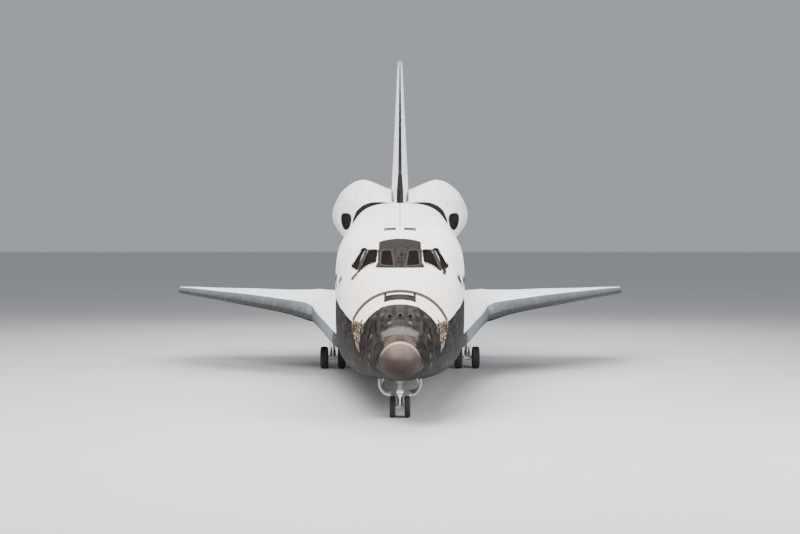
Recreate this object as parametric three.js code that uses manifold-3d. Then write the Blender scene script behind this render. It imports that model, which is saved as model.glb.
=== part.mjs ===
// A winged reusable spacecraft (orbiter) standing on its landing gear.
// Sizes are in inches in the vehicle's own station system: x runs aft, y to
// port, z up.  Everything is turned to millimetres at the end, nose towards
// -Y, tail towards +Y, port side towards +X, ground at Z = 0.
import * as THREE from 'three';
import { mergeVertices } from 'three/addons/utils/BufferGeometryUtils.js';
import Module from 'manifold-3d';

const wasm = await Module();
wasm.setup();

// ------------------------------------------------------------ dimensions
const IN = 25.4;
const X_REF = 970;            // station put near the middle of the length
const GROUND_X = 1172.3;      // main gear axle station
const GROUND_Z = 174;         // ground line below the main gear
const GROUND_SLOPE = 0.07;    // ground line rises towards the nose: parked nose down
const SEAM = 0.25;            // gap between neighbouring shells

const WALL = 7;               // whole thickness of the cabin wall
const BAY_FRONT = 582, BAY_BACK = 1307;
const BAY_R = 91, BAY_Z = 400;
const SILL_Z = 413;           // top of the sill, where the bay doors hinge
const DOOR_THICK = 8;
const HINGE_Y = 106.6, HINGE_Z = 416;

const WING_ROOT = 92, GLOVE_Y = 105, GLOVE_X = 607, KINK_Y = 168.7, TIP_Y = 468.3;
const LE45 = 836.06;          // leading edge x = LE45 + y outboard of the kink
const TE0 = 1525.3, TE_SLOPE = -0.1774;
const ELEVON_X = 1387, ELEVON_IN = 116.5, ELEVON_SPLIT = 312, ELEVON_GAP = 1.5, ELEVON_OUT = 435;
const RCC_IN = 113, RCC_DEPTH = 15, GLOVE_DEPTH = 8;

const FLAP = { x: 1532, z: 287, half: 112, chord: 81, r: 8.5 };

const FIN = { leX0: 1277.9, teX0: 1546.4, z0: 500, leX1: 1593.6, teX1: 1702, z1: 815.7,
  hx0: 1439, hx1: 1658.7, halfRoot: 15.5, halfFull: 18.1, zFull: 530, halfTip: 5.2 };
const RUDDER_Z0 = 605, RUDDER_Z1 = 782;

const ENGINE = { cup: 50, exit: 47, length: 157 };
const ENGINES = [               // name, x, y, z, pitch up, yaw out (degrees)
  ['main_engine_upper', 1445, 0, 443, 16, 0],
  ['main_engine_port', 1468.2, 53, 342.6, 10, 3.5],
  ['main_engine_starboard', 1468.2, -53, 342.6, 10, -3.5],
];
const OMS = { x: 1518, y: 88, z: 492, pitch: 15.8, yaw: 6.5, exit: 21.5, length: 56 };

const MAIN_GEAR = { x: 1172.3, y: 136, r: 22.2, w: 15.4, off: 17.5 };
const NOSE_GEAR = { x: 377.5, r: 15.9, w: 8.6, off: 11 };
const HATCH = { x: 520, z: 357, r: 20 };

// Body sections: x, top, bottom, half width, height of the widest point,
// lower and upper roundness (2 is an ellipse, more is squarer).
const BODY = [
  [238.4, 333.5, 328.5, 2.5, 331, 2, 2],
  [240, 339.3, 322, 10.5, 331, 2, 2],
  [244, 345.3, 316.4, 17, 331, 2, 2],
  [250, 351.3, 311.8, 22.3, 331, 2, 2],
  [258, 357.8, 307.8, 26.8, 331.3, 2.05, 2],
  [266, 364, 304.8, 31, 331.8, 2.1, 2],
  [280, 374, 301.2, 38.6, 332.5, 2.15, 2],
  [300, 387.6, 297.3, 48.5, 334, 2.2, 2],
  [320, 398.8, 294, 57, 336, 2.3, 2.05],
  [350, 409.5, 289.2, 68, 338.5, 2.5, 2.1],
  [380, 418.2, 284.8, 76, 341, 2.7, 2.15],
  [410, 428.5, 281, 83, 344, 2.9, 2.2],
  [430, 436.8, 279.2, 86.6, 346, 3.05, 2.3],
  [446, 444.3, 277.8, 89.3, 347.5, 3.2, 2.45],
  [458, 456, 277, 91.3, 349.5, 3.3, 2.7],
  [478, 475, 275.8, 94, 353, 3.4, 3],
  [500, 485.2, 274.7, 96.5, 358, 3.7, 3.2],
  [520, 492, 273.8, 98.5, 364, 4, 3.3],
  [560, 499, 272.4, 102, 380, 4.8, 3.5],
  [580, 501, 271.8, 103.5, 392, 5.4, 3.55],
  [640, 503, 270.5, 105, 400, 6, 3.4],
  [1307, 503, 268, 105, 400, 6, 3],
  [1400, 503, 268.5, 106.5, 400, 6.5, 2.9],
  [1480, 501, 272, 109, 399, 7, 2.8],
  [1535, 498, 277, 111, 398, 7, 2.8],
];

// Wing stations: y, leading edge height, trailing edge height, thickness
const WING = [
  [92, 305.5, 286, 65],
  [105, 303.5, 286.5, 65],
  [130, 300.5, 287, 64.5],
  [168.7, 304, 288, 58.5],
  [190, 307.5, 289.5, 52],
  [225, 311, 291.5, 43],
  [312, 314.5, 296, 33],
  [380, 316, 300, 24],
  [435, 317, 303.5, 18.5],
  [468.3, 317.5, 305.5, 14],
];

// Pod outline seen from ahead: angle about the bay axis, radius
const POD = [
  [8, 114], [11.7, 127], [15.3, 138.9], [21.1, 156.5], [27, 166.5], [33.8, 171.5],
  [44.8, 176.5], [53.4, 175.5], [61.1, 169], [66.8, 155.5], [74, 138.5], [81.7, 126],
];
// Pod growth along its length: x, share of the full height over the body
const POD_GROWTH = [
  [1309, 0.04], [1320, 0.22], [1335, 0.42], [1355, 0.62], [1380, 0.8],
  [1410, 0.93], [1440, 1], [1480, 1], [1511, 0.96],
];

// ------------------------------------------------------------ small helpers
const lerp = (a, b, t) => a + (b - a) * t;
const table = (rows, x, column) => {
  if (x <= rows[0][0]) return rows[0][column];
  for (let i = 1; i < rows.length; i++) {
    if (x <= rows[i][0]) {
      const a = rows[i - 1], b = rows[i];
      return lerp(a[column], b[column], (x - a[0]) / (b[0] - a[0]));
    }
  }
  return rows[rows.length - 1][column];
};
const deg = (a) => a * Math.PI / 180;
const place = ([x, y, z]) => [y * IN, (x - X_REF) * IN, z * IN];
const power = (v, p) => Math.sign(v) * Math.abs(v) ** p;

function flip(index) {
  for (let i = 0; i < index.length; i += 3) [index[i], index[i + 1]] = [index[i + 1], index[i]];
  return index;
}

function volumeOf(position, index) {
  let v = 0;
  for (let i = 0; i < index.length; i += 3) {
    const [a, b, c] = [index[i], index[i + 1], index[i + 2]].map((k) => position.slice(3 * k, 3 * k + 3));
    v += a[0] * (b[1] * c[2] - b[2] * c[1]) - a[1] * (b[0] * c[2] - b[2] * c[0]) + a[2] * (b[0] * c[1] - b[1] * c[0]);
  }
  return v / 6;
}

// A closed solid from a geometry: shared vertices, no slivers of no area.
function solid(geometry) {
  const g = geometry.clone();
  for (const key of Object.keys(g.attributes)) if (key !== 'position') g.deleteAttribute(key);
  const merged = mergeVertices(g, 1e-3);
  const position = Array.from(merged.attributes.position.array);
  let index = [];
  const src = merged.index.array;
  for (let i = 0; i < src.length; i += 3) {
    const [a, b, c] = [src[i], src[i + 1], src[i + 2]];
    if (a !== b && b !== c && c !== a) index.push(a, b, c);
  }
  if (volumeOf(position, index) < 0) index = flip(index);
  return new wasm.Manifold(new wasm.Mesh({
    numProp: 3, vertProperties: Float32Array.from(position), triVerts: Uint32Array.from(index),
  }));
}

function geometryOf(manifold) {
  const m = manifold.getMesh();
  const g = new THREE.BufferGeometry();
  const n = m.numProp, count = m.vertProperties.length / n;
  const p = new Float32Array(count * 3);
  for (let i = 0; i < count; i++) for (let k = 0; k < 3; k++) p[3 * i + k] = m.vertProperties[n * i + k];
  g.setAttribute('position', new THREE.BufferAttribute(p, 3));
  g.setIndex(Array.from(m.triVerts));
  return g;
}

// Closed skin through rings with the same number of points.  The two end caps
// are cut into triangles in the plane of the two named axes.
function loft(rings, axes) {
  const n = rings[0].length;
  const position = rings.flat().map(place).flat();
  const index = [];
  for (let r = 0; r + 1 < rings.length; r++) {
    for (let i = 0; i < n; i++) {
      const a = r * n + i, b = r * n + (i + 1) % n, c = a + n, d = b + n;
      index.push(a, b, c, b, d, c);
    }
  }
  const cap = (r, reverse) => {
    const flat = rings[r].map((p) => new THREE.Vector2(p[axes[0]], p[axes[1]]));
    const turn = Math.sign(THREE.ShapeUtils.area(flat));
    const triangles = THREE.ShapeUtils.triangulateShape(flat, []);
    if (triangles.length !== n - 2) throw new Error('cap ' + triangles.length + ' of ' + (n - 2) + ' ' + JSON.stringify(flat));
    const sum = triangles.reduce((v, t) => v + THREE.ShapeUtils.area(t.map((k) => flat[k])), 0);
    const swap = (Math.sign(sum) !== turn) !== reverse;
    for (const [a, b, c] of triangles) index.push(...(swap ? [b, a, c] : [a, b, c]).map((k) => r * n + k));
  };
  cap(0, true);
  cap(rings.length - 1, false);
  const g = new THREE.BufferGeometry();
  g.setAttribute('position', new THREE.BufferAttribute(Float32Array.from(position), 3));
  g.setIndex(index);
  return solid(g);
}
const YZ = [1, 2], XZ = [0, 2], XY = [0, 1];

// Straight prism: a flat outline between two values of the third axis.
function prism(outline, axis, from, to) {
  const at = (v) => outline.map(([a, b]) => (axis === 'x' ? [v, a, b] : axis === 'y' ? [a, v, b] : [a, b, v]));
  return loft([at(from), at(to)], axis === 'x' ? YZ : axis === 'y' ? XZ : XY);
}
const block = (x0, x1, y0, y1, z0, z1) => prism([[y0, z0], [y1, z0], [y1, z1], [y0, z1]], 'x', x0, x1);

// Turned body: profile of [along, radius] pairs about a line.
function turned(profile, origin, dir, segments = 24) {
  const pts = profile.map(([s, r]) => new THREE.Vector2(Math.max(r, 0) * IN, s * IN));
  const g = new THREE.LatheGeometry(pts, segments);
  const along = new THREE.Vector3(dir[1], dir[0], dir[2]).normalize();
  const q = new THREE.Quaternion().setFromUnitVectors(new THREE.Vector3(0, 1, 0), along);
  const m = new THREE.Matrix4().compose(new THREE.Vector3(...place(origin)), q, new THREE.Vector3(1, 1, 1));
  g.applyMatrix4(m);
  return solid(g);
}
const rod = (a, b, ra, rb = ra, segments = 16) => {
  const d = [b[0] - a[0], b[1] - a[1], b[2] - a[2]];
  const len = Math.hypot(...d);
  return turned([[0, 0], [0, ra], [len, rb], [len, 0]], a, d, segments);
};
const ball = (c, r, segments = 20) => {
  const g = new THREE.SphereGeometry(r * IN, segments, Math.round(segments / 2));
  g.translate(...place(c));
  return solid(g);
};
const mirrored = (m) => m.mirror([1, 0, 0]);

// ------------------------------------------------------------ body sections
function ring(x, { grow = 0, n = 32 } = {}) {
  const top = table(BODY, x, 1) + grow, low = table(BODY, x, 2) - grow;
  const half = table(BODY, x, 3) + grow, mid = table(BODY, x, 4);
  const nl = table(BODY, x, 5), nu = table(BODY, x, 6);
  const pts = [];
  for (let i = 0; i < n; i++) {
    const t = 2 * Math.PI * (i + 0.5) / n;
    const c = Math.cos(t), s = Math.sin(t);
    const e = 2 / (s >= 0 ? nu : nl);
    const z = mid + (s >= 0 ? top - mid : mid - low) * power(s, e);
    pts.push([x, half * power(c, e), z]);
  }
  return pts;
}
const stations = (from, to) => [from, ...BODY.map((r) => r[0]).filter((x) => x > from + 0.5 && x < to - 0.5), to];
const bodyShell = (from, to, options) => loft(stations(from, to).map((x) => ring(x, options)), YZ);

// First station at which the point (y, z) lies inside the body.
function skinX(y, z) {
  for (let x = 239; x < 700; x += 0.5) {
    const mid = table(BODY, x, 4), half = table(BODY, x, 3);
    const up = z >= mid, h = up ? table(BODY, x, 1) - mid : mid - table(BODY, x, 2);
    const e = up ? table(BODY, x, 6) : table(BODY, x, 5);
    if ((Math.abs(y) / half) ** e + (Math.abs(z - mid) / h) ** e <= 1) return x;
  }
  return 700;
}

const parts = {};

// ------------------------------------------------------------ nose and cabin
const CAP_TOP = [261, 360], CAP_LOW = [266, 305];   // the cap's rim, leaning back at the bottom
const rimX = (z) => lerp(CAP_TOP[0], CAP_LOW[0], (z - CAP_TOP[1]) / (CAP_LOW[1] - CAP_TOP[1]));
const behindRim = (shift, far) => prism([[rimX(420) + shift, 420], [rimX(230) + shift, 230], [far, 230], [far, 420]], 'y', -60, 60);
parts.nose_cap = bodyShell(238.4, 300).subtract(behindRim(0, 320));

const noseBody = bodyShell(246, BAY_FRONT - 2);
const aheadOfRim = prism([[rimX(520) + SEAM, 520], [rimX(200) + SEAM, 200], [150, 200], [150, 520]], 'y', -120, 120);

// The thruster module fills the top of the nose ahead of station 379.
const RCS_BACK = 379, RCS_LOW = 344;
const rcsRegion = (g) => prism([[200, RCS_LOW - g], [RCS_BACK + g, RCS_LOW - g], [RCS_BACK + g, 520], [200, 520]], 'y', -130, 130);
const jetHoles = [];
for (const y of [-14.65, 0, 14.65]) jetHoles.push(rod([308, y, 387], [292, y, 400], 3.6, 3.6, 10));
let rcs = noseBody.subtract(aheadOfRim).intersect(rcsRegion(0));
for (const h of jetHoles) rcs = rcs.subtract(h);
parts.forward_rcs_module = rcs;

// Cabin hollow: both decks inside the wall, up behind the windshield.
const cabinRing = (x, lift) => {
  const mid = table(BODY, x, 4);
  const top = table(BODY, Math.max(x - 7, 440), 1) - WALL - lift, half = table(BODY, x, 3) - WALL;
  const nu = table(BODY, x, 6), pts = [];
  for (let i = 0; i <= 16; i++) {
    const t = Math.PI * i / 16;
    pts.push([x, half * power(Math.cos(t), 2 / nu), mid + (top - mid) * power(Math.sin(t), 2 / nu)]);
  }
  pts.push([x, -half + 3, 325], [x, -half + 14, 308], [x, half - 14, 308], [x, half - 3, 325]);
  return pts;
};
const cabin = loft([446, 462, 484, 500, 520, 545, 571].map((x) => cabinRing(x, 0)), YZ);

// Nose wheel well, open downwards between the two doors.
const WELL = { x0: 304, x1: 392, half: 28, top: 334 };
const noseWell = loft([[WELL.x0, 24], [330, WELL.half], [WELL.x1, WELL.half]].map(([x, h]) => [
  [x, -h, 240], [x, h, 240], [x, h, WELL.top - (x < 310 ? 12 : 0)], [x, -h, WELL.top - (x < 310 ? 12 : 0)],
]), YZ);

// Windows: corners seen from ahead as [y, z], lower inner corner first.
const PANES = {
  front: [[9.4, 448], [29.7, 449.3], [27.9, 469.3], [13.9, 469.9]],
  middle: [[37.8, 452.7], [60.6, 441], [48, 468.8], [35.7, 469.1]],
  side: [[65, 441.4], [73, 445.4], [57.5, 470.2], [52.2, 470.5]],
};
const OVERHEAD = [[536, 6.5], [535, 25], [556, 25], [557, 6.5]];
function paneFrame(corners) {
  const p = corners.map((c) => new THREE.Vector3(...c));
  const centre = p.reduce((a, b) => a.clone().add(b), new THREE.Vector3()).multiplyScalar(0.25);
  const u = p[1].clone().add(p[2]).sub(p[0]).sub(p[3]).normalize();
  const v0 = p[2].clone().add(p[3]).sub(p[0]).sub(p[1]);
  const normal = new THREE.Vector3().crossVectors(u, v0).normalize();
  const v = new THREE.Vector3().crossVectors(normal, u);
  if (normal.x > 0.2 || (Math.abs(normal.x) <= 0.2 && normal.z < 0)) normal.negate();
  return { p, centre, u, v, normal };
}
function paneSolid(corners, inset, out, inward) {
  const { p, centre, u, v, normal } = paneFrame(corners);
  // move every edge of the outline inwards by the inset
  const q = p.map((c) => { const d = c.clone().sub(centre); return [d.dot(u), d.dot(v)]; });
  const edges = q.map((c, i) => {
    const d = q[(i + 1) % q.length], len = Math.hypot(d[0] - c[0], d[1] - c[1]);
    let n = [(d[1] - c[1]) / len, (c[0] - d[0]) / len], k = n[0] * c[0] + n[1] * c[1];
    if (k < 0) { n = [-n[0], -n[1]]; k = -k; }
    return [n[0], n[1], k - inset];
  });
  const flat = edges.map((e, i) => {
    const g = edges[(i + edges.length - 1) % edges.length], det = g[0] * e[1] - g[1] * e[0];
    const a = (g[2] * e[1] - g[1] * e[2]) / det, b = (g[0] * e[2] - g[2] * e[0]) / det;
    return centre.clone().addScaledVector(u, a).addScaledVector(v, b);
  });
  const layer = (k) => flat.map((c) => c.clone().addScaledVector(normal, k).toArray());
  const axes = Math.abs(normal.z) > 0.75 ? XY : Math.abs(normal.x) > Math.abs(normal.y) ? YZ : XZ;
  return loft([layer(out), layer(-inward)], axes);
}
const panes = [];
for (const [name, outline] of Object.entries(PANES)) panes.push([`${name}_window`, outline.map(([y, z]) => [skinX(y, z), y, z])]);
panes.push(['overhead_window', OVERHEAD.map(([x, y]) => [x, y, table(BODY, x, 1) - 1.2 - y * y / 210])]);

let front = noseBody.subtract(aheadOfRim).subtract(rcsRegion(SEAM)).subtract(cabin).subtract(noseWell);
for (const [name, corners] of panes) {
  const hole = paneSolid(corners, 0, 8, 15);
  front = front.subtract(hole).subtract(mirrored(hole));
  const glass = paneSolid(corners, 0.15, -1.2, 2.6);
  parts[`${name}_port`] = glass;
  parts[`${name}_starboard`] = mirrored(glass);
}

// Crew hatch: a plug cut out of the port wall, a little narrower inside.
const hatchAxis = (y0, y1, r0, r1) => rod([HATCH.x, y0, HATCH.z], [HATCH.x, y1, HATCH.z], r0, r1, 24);
const hatchPlug = bodyShell(480, 560).intersect(hatchAxis(84, 110, 17.9, 21.7));
front = front.subtract(hatchAxis(80, 112, HATCH.r + 0.5, HATCH.r + 0.7));
const hatchGlassHole = rod([HATCH.x, 80, HATCH.z + 2], [HATCH.x, 112, HATCH.z + 2], 5, 5, 12);
parts.crew_hatch = hatchPlug.intersect(block(480, 560, 90, 112, 320, 400)).subtract(hatchGlassHole);
parts.hatch_window = rod([HATCH.x, 93, HATCH.z + 2], [HATCH.x, 95, HATCH.z + 2], 4.8, 4.8, 12);
// pad below the nose where the vehicle was carried
front = front.add(block(400, 412, -6, 6, 274, 284));
parts.forward_fuselage = front;

// Cabin fittings: one deck across, panel and two chairs.
parts.flight_deck = loft([450, 500, 540, 566].map((x) => {
  const h = Math.sqrt(Math.max(0.05, 1 - ((408 - table(BODY, x, 4)) / (table(BODY, x, 1) - table(BODY, x, 4))) ** 2)) * (table(BODY, x, 3) - WALL) - 5;
  return [[x, -h, 404], [x, h, 404], [x, h, 408], [x, -h, 408]];
}), YZ);
parts.instrument_panel = prism([[462, 408.3], [474, 408.3], [474, 428], [482, 446], [474, 450], [462, 440]], 'y', -42, 42);
const chair = prism([[500, 408.3], [514, 408.3], [514, 424], [520, 424], [527, 468], [521, 470], [514, 430], [494, 430], [494, 423], [500, 423]], 'y', 14, 34);
parts.commander_chair = chair;
parts.pilot_chair = mirrored(chair);

// ------------------------------------------------------------ payload bay
const belowSill = prism([[500, 200], [1400, 200], [1400, SILL_Z], [500, SILL_Z]], 'y', -140, 140);
const bayHollow = (() => {
  const pts = [];
  for (let i = 0; i <= 14; i++) {
    const a = Math.PI + Math.PI * i / 14;
    pts.push([BAY_R * Math.cos(a), BAY_Z + BAY_R * Math.sin(a)]);
  }
  pts.push([BAY_R, 440], [-BAY_R, 440]);
  return prism(pts, 'x', BAY_FRONT + 8, BAY_BACK - 8);
})();
let mid = bodyShell(BAY_FRONT - 2 + SEAM, BAY_BACK).intersect(belowSill).subtract(bayHollow);
// end bulkheads close the bay under the doors
const bulkhead = (x0, x1) => loft([x0, x1].map((x) => {
  const half = table(BODY, x, 3) - DOOR_THICK - 1.5, rise = table(BODY, x, 1) - table(BODY, x, 4) - DOOR_THICK - 1.5, pts = [];
  const e = 2 / table(BODY, x, 6);
  for (let i = 0; i <= 16; i++) pts.push([x, half * power(Math.cos(Math.PI * i / 16), e), table(BODY, x, 4) + rise * power(Math.sin(Math.PI * i / 16), e)]);
  return pts;
}), YZ);
mid = mid.add(bulkhead(BAY_FRONT - 1, BAY_FRONT + 8)).add(bulkhead(BAY_BACK - 8, BAY_BACK));
// keel block on the bay floor
mid = mid.add(block(930, 960, -9, 9, 305, 315));
parts.mid_fuselage = mid;

function bayDoor() {
  const rings = [BAY_FRONT - 1, 640, BAY_BACK].map((x) => {
    const outer = [], inner = [];
    const rz = table(BODY, x, 1) - table(BODY, x, 4), ry = table(BODY, x, 3), c = table(BODY, x, 4), n = table(BODY, x, 6);
    for (let i = 0; i <= 12; i++) {
      const a0 = Math.asin(((SILL_Z + 3 - c) / rz) ** (n / 2)), a = lerp(a0, Math.PI / 2, i / 12);
      outer.push([x, Math.max(ry * power(Math.cos(a), 2 / n), 0.25), c + rz * power(Math.sin(a), 2 / n)]);
      const b0 = Math.asin(((SILL_Z + 3 - c) / (rz - DOOR_THICK)) ** (n / 2)), b = lerp(b0, Math.PI / 2, i / 12);
      inner.push([x, Math.max((ry - DOOR_THICK) * power(Math.cos(b), 2 / n), 0.25), c + (rz - DOOR_THICK) * power(Math.sin(b), 2 / n)]);
    }
    return [...outer, ...inner.reverse()];
  });
  return loft(rings, YZ);
}
parts.bay_door_port = bayDoor();
parts.bay_door_starboard = mirrored(parts.bay_door_port);

// ------------------------------------------------------------ aft body
let aft = bodyShell(BAY_BACK + SEAM, 1521).subtract(
  prism([[1521, 276], [1600, 276], [1600, 560], [1466, 560], [1478, 500]], 'y', -140, 140));
for (const [, x, y, z] of ENGINES) aft = aft.subtract(ball([x, y, z], ENGINE.cup + 2));
aft = aft.subtract(rod([FLAP.x, -130, FLAP.z - 2], [FLAP.x, 130, FLAP.z - 2], FLAP.r + 2.2, FLAP.r + 2.2, 28));
aft = aft.add(block(1312, 1324, 78, 90, 266.6, 285)).add(block(1312, 1324, -90, -78, 266.6, 285));
parts.aft_fuselage = aft;

// ------------------------------------------------------------ pods
const podRings = POD_GROWTH.map(([x, g]) => {
  const ry = table(BODY, x, 3) + 0.8, rz = table(BODY, x, 1) - table(BODY, x, 4) + 0.8, c = table(BODY, x, 4);
  const n = table(BODY, x, 6), skin = (a) => ((Math.cos(a) / ry) ** n + (Math.sin(a) / rz) ** n) ** (-1 / n);
  const outer = POD.map(([angle, radius], i) => {
    const a = deg(angle), r = skin(a) + g * (radius - skin(a));
    if (i === POD.length - 1) return [x, 18.6, c + Math.sqrt(Math.max(r * r - 18.6 ** 2, 0))];
    return [x, r * Math.cos(a), c + r * Math.sin(a)];
  });
  const inner = [79.6, 72, 64, 56, 48, 40, 32, 24, 16, 8].map((angle, i) => {
    const a = deg(angle), r = skin(a) - (g < 0.1 ? 0.3 : 0);
    return i === 0 ? [x, 18.6, c + rz * (1 - (18.6 / ry) ** n) ** (1 / n) - (g < 0.1 ? 0.3 : 0)] : [x, r * Math.cos(a), c + r * Math.sin(a)];
  });
  return [...outer, ...inner];
});
const rcsHousing = loft([[1470, 448, 512, 114, 148], [1500, 444, 510, 113.5, 152], [1566, 450, 500, 116, 148]].map(([x, z0, z1, y0, y1]) =>
  [[x, y0, z0 + 4], [x, y0 + 8, z0], [x, y1 - 6, z0 + 2], [x, y1, z0 + 14], [x, y1 - 2, z1 - 12], [x, y1 - 12, z1], [x, y0 + 6, z1], [x, y0, z1 - 8]]), YZ);
const omsCup = ball([OMS.x, OMS.y, OMS.z], 13, 12);
const pod = loft(podRings, YZ).add(rcsHousing).subtract(omsCup);
parts.oms_pod_port = pod;
parts.oms_pod_starboard = mirrored(pod);

// ------------------------------------------------------------ engines
const bell = [[62, 24], [80, 31.3], [105, 38.6], [130, 43.6]];
for (const [name, x, y, z, pitch, yaw] of ENGINES) {
  const dir = [Math.cos(deg(pitch)) * Math.cos(deg(yaw)), Math.cos(deg(pitch)) * Math.sin(deg(yaw)), Math.sin(deg(pitch))];
  const R = ENGINE.cup, profile = [[R - 3.2, 0]];
  for (const a of [16, 32, 48]) profile.push([(R - 3.2) * Math.cos(deg(a)), (R - 3.2) * Math.sin(deg(a))]);
  for (const a of [48, 34, 20.5]) profile.push([R * Math.cos(deg(a)), R * Math.sin(deg(a))]);
  profile.push(...bell, [ENGINE.length, ENGINE.exit], [ENGINE.length, ENGINE.exit - 1.6]);
  for (const [s, r] of [...bell].reverse()) profile.push([s, r - 1.8]);
  profile.push([53, 8], [53, 0]);
  parts[name] = turned(profile, [x, y, z], dir, 24);
}
const omsProfile = [[0, 0], [0, 6], [10, 6.5], [14, 8], [24, 13], [38, 18], [OMS.length, OMS.exit], [OMS.length, OMS.exit - 1], [38, 17], [24, 12], [14, 6], [12, 0]];
const omsDir = [Math.cos(deg(OMS.pitch)) * Math.cos(deg(OMS.yaw)), Math.cos(deg(OMS.pitch)) * Math.sin(deg(OMS.yaw)), Math.sin(deg(OMS.pitch))];
parts.oms_engine_port = turned(omsProfile, [OMS.x, OMS.y, OMS.z], omsDir, 20);
parts.oms_engine_starboard = mirrored(parts.oms_engine_port);

// ------------------------------------------------------------ fin and rudder
const FIN_FOOT = 503.6;
const finAt = (z) => {
  const t = (z - FIN.z0) / (FIN.z1 - FIN.z0);
  return { le: lerp(FIN.leX0, FIN.leX1, t), te: lerp(FIN.teX0, FIN.teX1, t), h: lerp(FIN.hx0, FIN.hx1, t), half: z < FIN.zFull ? lerp(FIN.halfRoot, FIN.halfFull, (z - FIN_FOOT) / (FIN.zFull - FIN_FOOT)) : lerp(FIN.halfFull, FIN.halfTip, (z - FIN.zFull) / (FIN.z1 - FIN.zFull)) };
};
const finRing = (z) => {
  const { le, te, h, half } = finAt(z), at = (f) => lerp(le, h, f);
  const side = [[at(0), 0.06], [at(0.02), 0.17], [at(0.1), 0.34], [at(0.3), 0.62], [at(0.6), 0.9], [h, 1], [te, 0.05]];
  return [...side.map(([x, k]) => [x, half * k, z]), ...side.reverse().map(([x, k]) => [x, -half * k, z])];
};
const hingeLen = Math.hypot(FIN.hx1 - FIN.hx0, FIN.z1 - FIN.z0);
const U = [(FIN.hx1 - FIN.hx0) / hingeLen, (FIN.z1 - FIN.z0) / hingeLen];   // along the hinge line
const V = [U[1], -U[0]];                                                      // square to it, aft
const hingePoint = (z) => { const t = (z - FIN.z0) / (FIN.z1 - FIN.z0); return [lerp(FIN.hx0, FIN.hx1, t), z]; };
const chordTo = (z) => { // along V from the hinge to the trailing edge
  const [hx, hz] = hingePoint(z), m = (FIN.teX1 - FIN.teX0) / (FIN.z1 - FIN.z0);
  return (FIN.teX0 + m * (hz - FIN.z0) - hx) / (V[0] - m * V[1]);
};
const inPlane = (z, s, y) => { const [hx, hz] = hingePoint(z); return [hx + V[0] * s, y, hz + V[1] * s]; };
const noseR = (z) => finAt(z).half * 0.985;
const LIP = 0.7, SEAT = Math.hypot(1, LIP);   // the panels reach this far ahead of the hinge, in half thicknesses
const rudderSpace = (() => {
  const z0 = RUDDER_Z0 - 0.6, z1 = RUDDER_Z1 + 0.6;
  const cone = rod(inPlane(z0, 0, 0), inPlane(z1, 0, 0), noseR(z0) * SEAT + 0.7, noseR(z1) * SEAT + 0.7, 32);
  const behind = loft([z0, z1].map((z) => [inPlane(z, 0, -40), inPlane(z, 0, 40), inPlane(z, 130, 40), inPlane(z, 130, -40)]), XY);
  return cone.add(behind);
})();
let fin = loft([FIN_FOOT, 530, 560, 640, 730, 800, FIN.z1].map(finRing), XY).subtract(rudderSpace);
// the body ends ahead of the fin's trailing edge: room for the upper engine
fin = fin.subtract(prism([[1488, 480], [1495, 503], [1575, 572], [1640, 560], [1640, 480]], 'y', -40, 40));
fin = fin.intersect(prism([[1309, 480], [1800, 480], [1800, 900], [1309, 900]], 'y', -40, 40));
parts.vertical_fin = fin;

const SHAFT_R = 2.6, PANEL_CORE = 3.1, PANEL_BACK = 90 + Math.atan(LIP) * 180 / Math.PI;
parts.rudder_shaft = rod(inPlane(RUDDER_Z0 + 0.4, 0, 0), inPlane(RUDDER_Z1 - 0.4, 0, 0), SHAFT_R, SHAFT_R - 0.6, 20);
const panelRing = (z) => {
  const r = noseR(z), c = chordTo(z), pts = [];
  pts.push([PANEL_CORE, 0.12], [c, 0.12], [c, 0.7]);
  pts.push([0, r], [-LIP * r, r]);
  for (const a of [PANEL_BACK, 95, 65, 35]) pts.push([PANEL_CORE * Math.cos(deg(a)), PANEL_CORE * Math.sin(deg(a))]);
  return pts.map(([s, y]) => inPlane(z, s, y));
};
parts.rudder_panel_port = loft([RUDDER_Z0, RUDDER_Z1].map(panelRing), XY);
parts.rudder_panel_starboard = mirrored(parts.rudder_panel_port);

// ------------------------------------------------------------ wings
const leX = (y) => (y <= KINK_Y ? GLOVE_X + (y - GLOVE_Y) * (LE45 + KINK_Y - GLOVE_X) / (KINK_Y - GLOVE_Y) : LE45 + y);
const teX = (y) => TE0 + TE_SLOPE * y;
const gloveSlope = (LE45 + KINK_Y - GLOVE_X) / (KINK_Y - GLOVE_Y);
const rccX = (y) => Math.min(leX(y) + (y < KINK_Y ? GLOVE_DEPTH * Math.hypot(1, gloveSlope) : 1e9), LE45 + y + RCC_DEPTH * Math.SQRT2);
const foil = (f) => 5 * (0.2969 * Math.sqrt(f) - 0.126 * f - 0.3516 * f * f + 0.2843 * f ** 3 - 0.1036 * f ** 4);
function wingZ(x, y) {
  const a = leX(y), b = teX(y), f = Math.min(Math.max((x - a) / (b - a), 0), 1);
  // the section is blunter along the swept glove than out on the wing
  const blunt = y > 180 ? 1 : y < 140 ? 1.5 : 1.5 - 0.5 * (y - 140) / 40;
  const mean = lerp(table(WING, y, 1), table(WING, y, 2), f), t = table(WING, y, 3) * foil(f ** blunt);
  return [mean + 1.16 * t + 0.35, mean - 0.84 * t - 0.35];
}
const wingRing = (y, xs) => [...xs.map((x) => [x, y, wingZ(x, y)[0]]), ...[...xs].reverse().map((x) => [x, y, wingZ(x, y)[1]])];
const spread = (a, b, shares) => shares.map((f) => lerp(a, b, f));
const RCC_KINK = (LE45 + RCC_DEPTH * Math.SQRT2 - GLOVE_X + gloveSlope * GLOVE_Y - GLOVE_DEPTH * Math.hypot(1, gloveSlope)) / (gloveSlope - 1);
const WING_Y = [WING_ROOT, 105, 130, 150, RCC_KINK, KINK_Y, 190, 225, ELEVON_SPLIT, 380, ELEVON_OUT + 0.8];
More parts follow.
